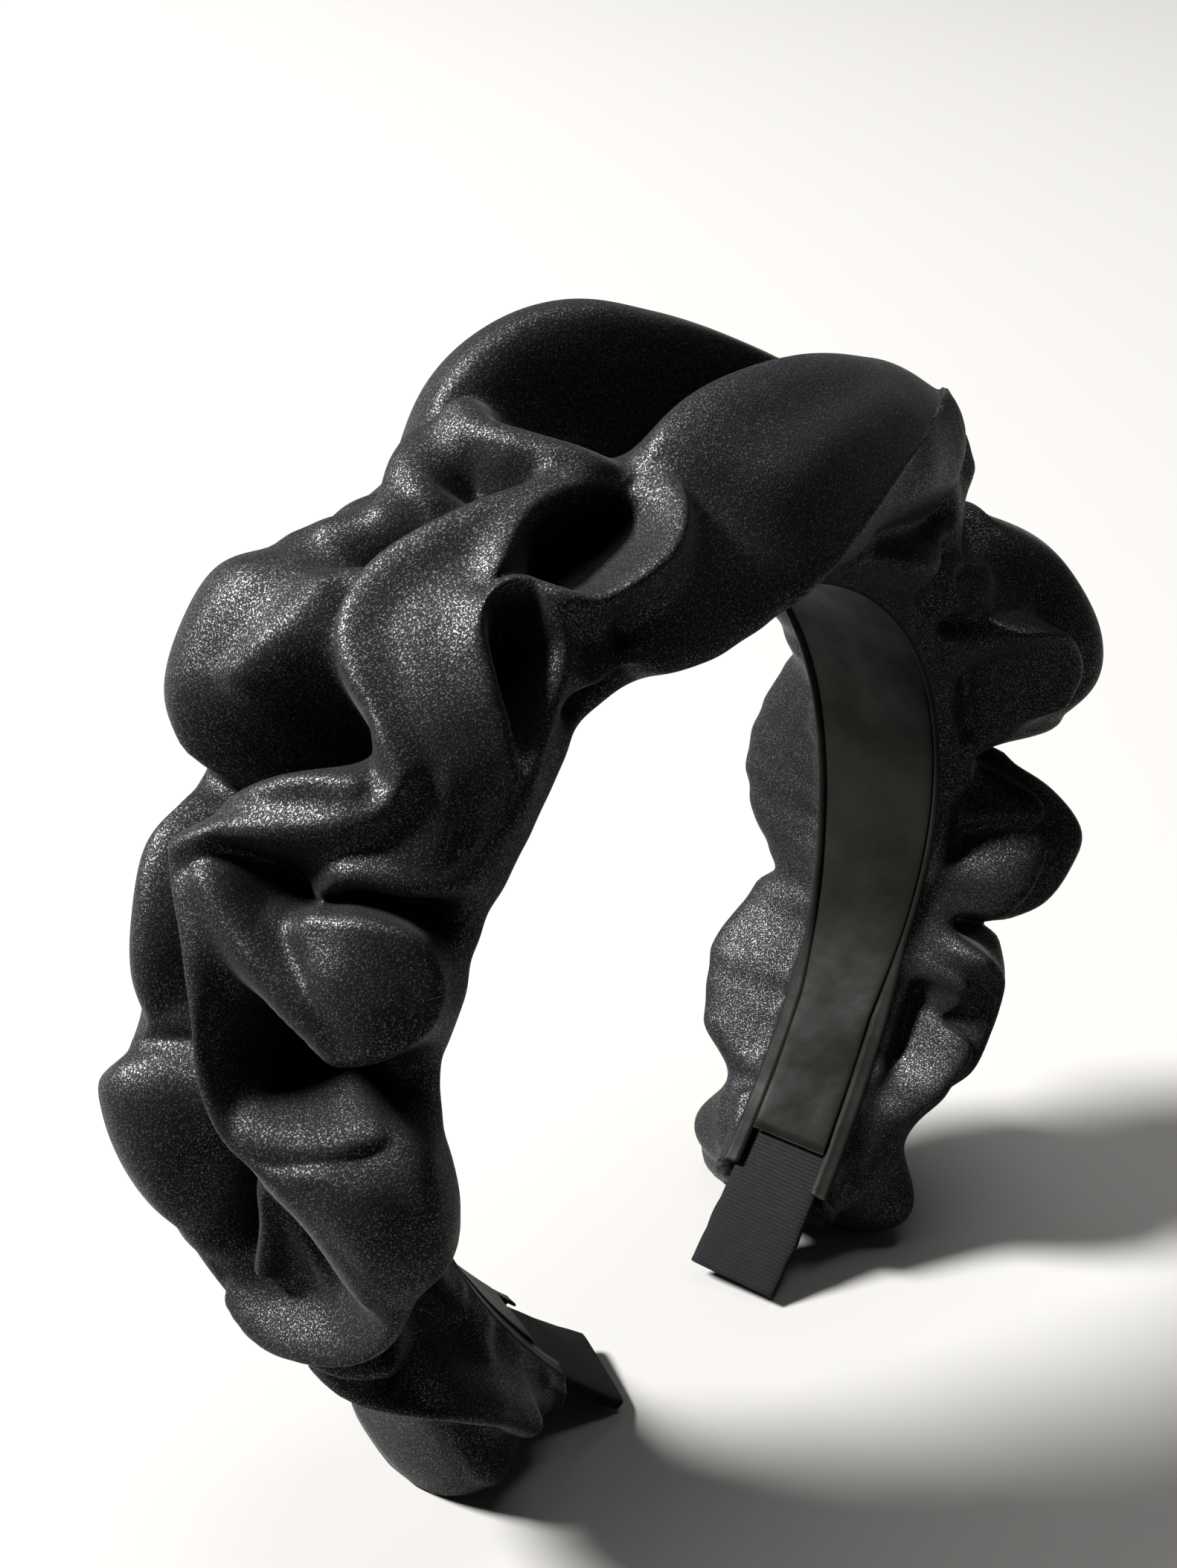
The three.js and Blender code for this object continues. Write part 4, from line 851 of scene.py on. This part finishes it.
def cover_points(rows, columns):
    """The cover's points, from the near end to the far end and from the back hem to the front."""
    along, across = np.meshgrid(
        np.linspace(-cover_end, cover_end, rows), np.linspace(-1, 1, columns), indexing="ij"
    )
    radius, angle, centre, side = slack_section(along, across)
    ends = smooth(0, END_RUN, cover_end - np.abs(along))
    fade = smooth(0, HEM_RUN, 1 - np.abs(across)) * ends
    heights, leans = folded(along, across)
    leans = eased(leans, LEAN_PASSES)
    wanted = radius + heights * fade
    least = least_radius(angle, centre, side)
    kept = least + (wanted - least + np.hypot(wanted - least, CLOTH)) / 2
    held = smooth(1 - HEM_HOLD, 1, np.abs(across))
    radius = kept + (radius - kept) * held + puckers(along, across) * ends
    lean = END_LEAN * smooth(cover_end - END_LEAN_RUN, cover_end, np.abs(along))
    place = hoop_frame(along, lean)
    aside = leans[..., 1] * fade
    lateral = radius * np.sin(angle) + aside * np.cos(angle)
    outwards = centre + radius * np.cos(angle) - aside * np.sin(angle)
    points = section_point(place, lateral, outwards)
    points = eased(points + place[1] * (leans[..., :1] * fade[..., None]), EASE_PASSES)
    tucks = [tucked_end(along[row], lateral[row], outwards[row]) for row in (0, -1)]
    points = np.concatenate([tucks[0], points, tucks[1]], axis=0)
    edge, edge_side, edge_lean = (np.pad(values[:, 0], 1, "edge") for values in (along, side, lean))
    hem_place = hoop_frame(edge, edge_lean)
    hems = [turned_hem(hem_place, edge, edge_side, end) for end in (-1, 1)]
    points = np.concatenate([hems[0], points, hems[1]], axis=1)
    points[..., 2] = np.maximum(points[..., 2], ground_height())
    return points


cover_grid = cover_points(COVER_ROWS, COVER_COLUMNS)
print("cover's grid:", cover_grid.shape[0], "by", cover_grid.shape[1], "points")

# %% Cover mesh


def grid_mesh(name, points, closed=False):
    """A mesh object from a grid of points in the hoop's frame, its quads facing out."""
    rows, columns = points.shape[:2]
    index = np.arange(rows * columns).reshape(rows, columns)
    after = np.roll(index, -1, axis=1) if closed else index[:, 1:]
    before = index if closed else index[:, :-1]
    quads = np.stack([before[:-1], after[:-1], after[1:], before[1:]], -1).reshape(-1, 4)
    mesh = bpy.data.meshes.new(name)
    placed = points.reshape(-1, 3) * MM + np.array(HOOP_TOP)
    mesh.from_pydata(placed.tolist(), [], quads.tolist())
    mesh.polygons.foreach_set("use_smooth", np.ones(len(quads), bool))
    mesh.update()
    piece = bpy.data.objects.new(name, mesh)
    bpy.context.collection.objects.link(piece)
    return piece


cover = grid_mesh("gathered_cover", cover_grid)
print("gathered cover:", len(cover.data.polygons), "faces")

# %% [markdown]
# ## Shader helpers
#
# Every finish starts from a real cloth. Colours are sRGB hex values, one function turns them to
# the linear values that Blender works in, and one function adds a node with its settings and
# links.

# %% Colour and node helpers


def linear(hex_value):
    """An sRGB hex value as a linear colour with alpha."""
    parts = [int(hex_value[i : i + 2], 16) / 255 for i in (1, 3, 5)]
    return [v / 12.92 if v <= 0.04045 else ((v + 0.055) / 1.055) ** 2.4 for v in parts] + [1.0]


def add_node(tree, kind, links=None, settings=None):
    """Adds a node: links name the sockets that are fed, settings name sockets or properties."""
    node = tree.nodes.new(kind)
    for name, value in (settings or {}).items():
        if isinstance(name, int) or name in node.inputs:
            node.inputs[name].default_value = value
        else:
            setattr(node, name, value)
    for name, source in (links or {}).items():
        tree.links.new(source, node.inputs[name])
    return node


def new_material(name):
    """A new material, with its node tree and its shader."""
    material = bpy.data.materials.new(name)
    material.use_nodes = True
    shader = material.node_tree.nodes["Principled BSDF"]
    return material, material.node_tree, shader


print("white is", linear("#ffffff")[:3])

# %% [markdown]
# ## Duchess satin
#
# The cover is a heavy black satin. Its long floats shine softly along the weave and sparkle with
# a fine grain where the light strikes, and its valleys go almost black. The floats are about
# 0.1 mm wide on the real cloth and are drawn 0.27 mm wide here, or they would not show. A weave
# with two directions could be drawn instead, but in the photograph only the grain can be seen.

# %% Satin
SATIN_BLACK = "#040405"
SATIN_GREY = "#0b0b0d"
SATIN_FLOAT = 0.27
CRUMPLE = 9.0  # size of the faint dents that handling leaves


def duchess_satin():
    """Nearly black cloth, with a grain of bright floats that sparkle under a lamp."""
    material, tree, shader = new_material("black duchess satin")
    shader.inputs["Sheen Weight"].default_value = 0.02
    shader.inputs["Sheen Roughness"].default_value = 0.4
    place = add_node(tree, "ShaderNodeTexCoord").outputs["Object"]
    grain = add_node(tree, "ShaderNodeTexNoise", {"Vector": place},
                     {"Scale": 1 / (SATIN_FLOAT * MM), "Detail": 2.0, "Roughness": 0.7})
    crumple = add_node(tree, "ShaderNodeTexNoise", {"Vector": place},
                       {"Scale": 1 / (CRUMPLE * MM), "Detail": 3.0, "Roughness": 0.5})
    shade = add_node(tree, "ShaderNodeMix", {"Factor": grain.outputs["Fac"]},
                     {"data_type": "RGBA", 6: linear(SATIN_BLACK), 7: linear(SATIN_GREY)})
    rough = add_node(tree, "ShaderNodeMapRange", {"Value": grain.outputs["Fac"]},
                     {"From Min": 0.5, "From Max": 0.7, "To Min": 0.56, "To Max": 0.4})
    glint = add_node(tree, "ShaderNodeMapRange", {"Value": grain.outputs["Fac"]},
                     {"From Min": 0.54, "From Max": 0.72, "To Min": 0.04, "To Max": 0.9})
    soft = add_node(tree, "ShaderNodeBump", {"Height": crumple.outputs["Fac"]},
                    {"Strength": 0.2, "Distance": 1.2 * MM})
    fine = add_node(tree, "ShaderNodeBump",
                    {"Height": grain.outputs["Fac"], "Normal": soft.outputs["Normal"]},
                    {"Strength": 0.85, "Distance": 0.1 * MM})
    tree.links.new(shade.outputs[2], shader.inputs["Base Color"])
    tree.links.new(rough.outputs["Result"], shader.inputs["Roughness"])
    tree.links.new(glint.outputs["Result"], shader.inputs["Specular IOR Level"])
    tree.links.new(fine.outputs["Normal"], shader.inputs["Normal"])
    return material


cover_satin = duchess_satin()
print("made:", cover_satin.name)

# %% [markdown]
# ## Flat satin
#
# The lining is a duller satin, drawn flat: it has no sparkle, only a faint cloudy shine where it is
# not quite smooth. The cover's turned hems take the same finish as painted shade: it shines less
# than the satin, so they stay dark beside the lining. The lining's real threads are about 0.1 mm
# wide, and are drawn 0.25 mm wide.

# %% Flat satin
LINING_BLACK = "#040403"
LINING_GREY = "#0b0a08"
LINING_THREAD = 0.25
LINING_CLOUDS = 14.0  # size of the cloudy patches


def flat_satin():
    """Dull black satin with a cloudy shine."""
    material, tree, shader = new_material("flat satin lining and hem shade")
    place = add_node(tree, "ShaderNodeTexCoord").outputs["Object"]
    weave = add_node(tree, "ShaderNodeTexNoise", {"Vector": place},
                     {"Scale": 1 / (LINING_THREAD * MM), "Detail": 2.0})
    clouds = add_node(tree, "ShaderNodeTexNoise", {"Vector": place},
                      {"Scale": 1 / (LINING_CLOUDS * MM), "Detail": 3.0})
    shade = add_node(tree, "ShaderNodeMix", {"Factor": weave.outputs["Fac"]},
                     {"data_type": "RGBA", 6: linear(LINING_BLACK), 7: linear(LINING_GREY)})
    shine = add_node(tree, "ShaderNodeMapRange", {"Value": clouds.outputs["Fac"]},
                     {"From Min": 0.35, "From Max": 0.65, "To Min": 0.02, "To Max": 0.07})
    soft = add_node(tree, "ShaderNodeBump", {"Height": clouds.outputs["Fac"]},
                    {"Strength": 0.35, "Distance": 1.5 * MM})
    fine = add_node(tree, "ShaderNodeBump",
                    {"Height": weave.outputs["Fac"], "Normal": soft.outputs["Normal"]},
                    {"Strength": 0.5, "Distance": 0.05 * MM})
    tree.links.new(shade.outputs[2], shader.inputs["Base Color"])
    tree.links.new(shine.outputs["Result"], shader.inputs["Specular IOR Level"])
    tree.links.new(fine.outputs["Normal"], shader.inputs["Normal"])
    shader.inputs["Roughness"].default_value = 0.5
    return material


dull_satin_and_hem_shade = flat_satin()
print("made:", dull_satin_and_hem_shade.name)

# %% [markdown]
# ## Dressing the cover
#
# Gathering takes up length, so the cut strip is longer than the cloth that the folds are drawn on:
# by as much as the folded surface has more area than that cloth.

# %% Cover cloth and finish
DRAWN_THICKNESS = 0.5


def hem_faces(piece, columns):
    """For each face of a grid, whether it lies in the turned-in hems."""
    column = np.arange(len(piece.data.polygons)) % (columns - 1)
    return (column < HEM_COLUMNS) | (column >= columns - 1 - HEM_COLUMNS)


cover.data.materials.append(cover_satin)
# Painted shade: the turned hems take the flat lining satin, which shines less, so they stay dark.
cover.data.materials.append(dull_satin_and_hem_shade)
hem_shade_faces = hem_faces(cover, cover_grid.shape[1])
cover.data.polygons.foreach_set("material_index", hem_shade_faces.astype(np.int32))
thickness = cover.modifiers.new("cloth thickness", "SOLIDIFY")
thickness.thickness = DRAWN_THICKNESS * MM
thickness.offset = -1
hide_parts("ruched_cover")
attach(cover, "root")

# %% [markdown]
# ## The lining
#
# The lining is a satin strip drawn tight over the inner face of the band, with its edges turned
# under. A plain strip would have a knife's edge, so it is one closed tube of cloth, flattened,
# and its edges are round. It rises gently over the upper ends of the ribbons, and its face waves
# a little, as cloth over padding does.

# %% Lining
LINING_ROWS = 420
LINING_CROWDING = 0.98  # how far the rows crowd towards the ends: 1 is the most
LINING_SQUARENESS = 0.45
LINING_WAVE = 0.16
LINING_WAVE_LENGTH = 11.0
LINING_WAVES_ACROSS = 1.5
LINING_END_RUN = 0.01  # share of the length over which the ends round off
LINING_END_LEAST = 0.04  # square of the share of its thickness that the end keeps
LOOP_POINTS = 48


def flat_loop(squareness):
    """A closed loop like a flattened circle, from -1 to 1 each way: less is squarer."""
    turn = np.linspace(0, 2 * math.pi, LOOP_POINTS, endpoint=False)
    across, up = np.cos(turn)[None, :], np.sin(turn)[None, :]
    return np.sign(across) * np.abs(across) ** squareness, np.sign(up) * np.abs(up) ** squareness


def lining_points():
    """The lining's points, row by row from its near end to its far end."""
    turn = math.pi / 2 * LINING_CROWDING
    along = lining_end * np.sin(np.linspace(-turn, turn, LINING_ROWS))[:, None] / math.sin(turn)
    across, up = flat_loop(LINING_SQUARENESS)
    stepped = smooth(ribbon_start - LINING_RAMP, ribbon_start, np.abs(along))
    top = BAND_THICKNESS / 2 + GAP + (sleeve_outside - BAND_THICKNESS / 2) * stepped
    places = [(a * HALF_LENGTH / LINING_WAVE_LENGTH, c * LINING_WAVES_ACROSS, 2)
              for a in along[:, 0] for c in across[0]]
    wave = np.array([noise.noise(Vector(place)) for place in places]).reshape(LINING_ROWS, -1)
    ends = smooth(0, LINING_END_RUN, lining_end - np.abs(along))
    rounded = np.sqrt(np.maximum(ends, LINING_END_LEAST))
    depth = top + LINING_THICKNESS / 2 * (1 + rounded * up) + LINING_WAVE * wave * (up > 0)
    place = hoop_frame(np.broadcast_to(along, depth.shape))
    return section_point(place, lining_half(along) * across, -depth)


def capped(piece):
    """Closes the two ends of a tube."""
    mesh = bmesh.new()
    mesh.from_mesh(piece.data)
    bmesh.ops.holes_fill(mesh, edges=[edge for edge in mesh.edges if edge.is_boundary])
    bmesh.ops.recalc_face_normals(mesh, faces=mesh.faces)
    mesh.to_mesh(piece.data)
    mesh.free()
    return piece


lining = capped(grid_mesh("satin_lining", lining_points(), closed=True))
print("satin lining:", len(lining.data.polygons), "faces")

# %% Lining cloth and finish
lining.data.materials.append(dull_satin_and_hem_shade)
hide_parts("inner_lining")
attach(lining, "root")
lining_widths = 2 * lining_half(np.linspace(0, lining_end, LINING_ROWS))

# %% [markdown]
# ## Grosgrain
#
# Each tip is wrapped in black grosgrain, a matte ribbon woven with a thick rib across it every
# 0.7 mm. The ribs have to follow the ribbon round its bend, so they are drawn on a flat map of the
# cloth in millimetres, and not in space. They show in the render, so they are drawn at their size.

# %% Grosgrain
RIBBON_BLACK = "#050506"
RIB_SPACING = 0.7
WAVE_REPEAT = 2 * math.pi / 20  # how often the wave texture repeats at a scale of 1
THREADS = 3.0  # threads in a millimetre


def grosgrain():
    """Matte black ribbon with a fine rib across it."""
    material, tree, shader = new_material("black grosgrain")
    place = add_node(tree, "ShaderNodeUVMap", None, {"uv_map": "cloth"}).outputs["UV"]
    ribs = add_node(tree, "ShaderNodeTexWave", {"Vector": place},
                    {"Scale": WAVE_REPEAT / RIB_SPACING})
    threads = add_node(tree, "ShaderNodeTexNoise", {"Vector": place}, {"Scale": THREADS})
    both = add_node(tree, "ShaderNodeMath", {0: ribs.outputs["Fac"], 1: threads.outputs["Fac"]})
    raised = add_node(tree, "ShaderNodeBump", {"Height": both.outputs["Value"]},
                      {"Strength": 0.9, "Distance": 0.12 * MM})
    tree.links.new(raised.outputs["Normal"], shader.inputs["Normal"])
    shader.inputs["Base Color"].default_value = linear(RIBBON_BLACK)
    shader.inputs["Roughness"].default_value = 0.75
    shader.inputs["Specular IOR Level"].default_value = 0.08
    return material


ribbon_cloth = grosgrain()
print("ribs on one ribbon:", round(RIBBON_LENGTH / RIB_SPACING))

# %% [markdown]
# ## The ribbons
#
# A ribbon is a tube too, squarer than the lining. Its sides wander a little, as a folded ribbon's
# do, and its end is cut straight.

# %% Ribbons
RIBBON_ROWS = 120
RIBBON_HALF = 1.2  # half the thickness of the folded ribbon with the band inside
RIBBON_SQUARENESS = 0.3
RIBBON_WANDER = 0.25
RIBBON_WANDERS = 30  # how many times the sides would wander over the length of an arm


def ribbon_points(side):
    """The points of one tip's ribbon, row by row down to its cut end."""
    along = np.linspace(ribbon_start, 1, RIBBON_ROWS)[:, None]
    across, up = flat_loop(RIBBON_SQUARENESS)
    places = [(side * a * RIBBON_WANDERS, 0, 5) for a in along[:, 0]]
    wander = np.array([noise.noise(Vector(place)) for place in places])[:, None]
    half = RIBBON_WIDTH / 2 - RIBBON_WANDER * (1 - 2 * np.abs(wander))
    place = hoop_frame(np.broadcast_to(side * along, (RIBBON_ROWS, across.shape[1])))
    return section_point(place, half * across, RIBBON_HALF * up + 0 * along)


def add_cloth_map(piece, rows, columns, length, width):
    """A flat map of a grid of cloth, in millimetres along and across, for its weave."""
    layer = piece.data.uv_layers.new(name="cloth")
    place = np.zeros(len(piece.data.loops), int)
    piece.data.loops.foreach_get("vertex_index", place)
    row, column = place // columns, place % columns
    spots = np.stack([row / (rows - 1) * length, column / columns * 2 * width], -1)
    layer.data.foreach_set("uv", spots.ravel())


for side, node in ((-1, "near_ribbon_sleeve"), (1, "far_ribbon_sleeve")):
    grid = ribbon_points(side)
    ribbon = grid_mesh(node.replace("sleeve", "cloth"), grid, closed=True)
    add_cloth_map(ribbon, *grid.shape[:2], RIBBON_LENGTH, RIBBON_WIDTH)
    capped(ribbon)
    ribbon.data.materials.append(ribbon_cloth)
    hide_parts(node)
    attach(ribbon, "root")
    print(ribbon.name, "has", len(ribbon.data.polygons), "faces")

# %% [markdown]
# ## The hidden band
#
# The springy band stays as packed, inside the cloth. It is a strip of moulded plastic, plain
# black, and slightly uneven in its gloss.

# %% Band
BAND_BLACK = "#0e0e0e"
BAND_PATCH = 4  # size of the glossier patches


def spring_plastic():
    """Moulded black plastic with an uneven gloss."""
    material, tree, shader = new_material("black spring plastic")
    place = add_node(tree, "ShaderNodeTexCoord").outputs["Object"]
    uneven = add_node(tree, "ShaderNodeTexNoise", {"Vector": place},
                      {"Scale": 1 / (BAND_PATCH * MM)})
    rough = add_node(tree, "ShaderNodeMapRange", {"Value": uneven.outputs["Fac"]},
                     {"To Min": 0.35, "To Max": 0.5})
    tree.links.new(rough.outputs["Result"], shader.inputs["Roughness"])
    shader.inputs["Base Color"].default_value = linear(BAND_BLACK)
    return material


band_plastic = spring_plastic()
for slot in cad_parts["hoop_band"].material_slots:
    slot.material = band_plastic
print("made:", band_plastic.name)

# %% [markdown]
# ## The floor
#
# The headband stands on a wide sheet of matte paper. White paper would throw a lot of light back
# on to the black cloth and turn it grey. So the paper is grey, and the lamps are strong enough to
# make it look white.

# %% Floor
FLOOR_SIZE = 8  # metres
PAPER_GREY = "#696866"

bpy.ops.mesh.primitive_plane_add(size=FLOOR_SIZE)
floor = bpy.context.object
floor.name = "pale_floor"
paper, _, paper_shader = new_material("pale paper floor")
paper_shader.inputs["Base Color"].default_value = linear(PAPER_GREY)
paper_shader.inputs["Roughness"].default_value = 0.9
paper_shader.inputs["Specular IOR Level"].default_value = 0.1
floor.data.materials.append(paper)
print("floor:", FLOOR_SIZE, "m square")

# %% [markdown]
# ## The lights
#
# The photograph's light comes from behind, high on the left: the crests shine, and the faces
# towards the camera stay dark. One soft lamp does that. A wide, weak one overhead opens the
# shadows a little, and a faint white world fills the rest.

# %% Lights
LIGHT_AIM = HOOP_TOP + Vector((0, 0, -70)) * MM
WORLD_STRENGTH = 0.08


def soft_light(name, direction, distance, size, power):
    """A round lamp, turned towards the middle of the headband."""
    data = bpy.data.lights.new(name, "AREA")
    data.shape = "DISK"
    data.size = size
    data.energy = power
    lamp = bpy.data.objects.new(name, data)
    lamp.location = LIGHT_AIM + Vector(direction).normalized() * distance
    lamp.rotation_euler = (lamp.location - LIGHT_AIM).to_track_quat("Z", "Y").to_euler()
    bpy.context.collection.objects.link(lamp)
    print(name, "lamp:", power, "W")


soft_light("key", (-0.52, 0.55, 0.69), distance=4, size=0.9, power=1500)
soft_light("overhead", (0.15, 0.1, 1), distance=3, size=2, power=110)
world = bpy.data.worlds.new("studio")
bpy.context.scene.world = world
world.use_nodes = True
world.node_tree.nodes["Background"].inputs["Color"].default_value = (1, 1, 1, 1)
world.node_tree.nodes["Background"].inputs["Strength"].default_value = WORLD_STRENGTH
bpy.context.scene.view_settings.view_transform = "Standard"
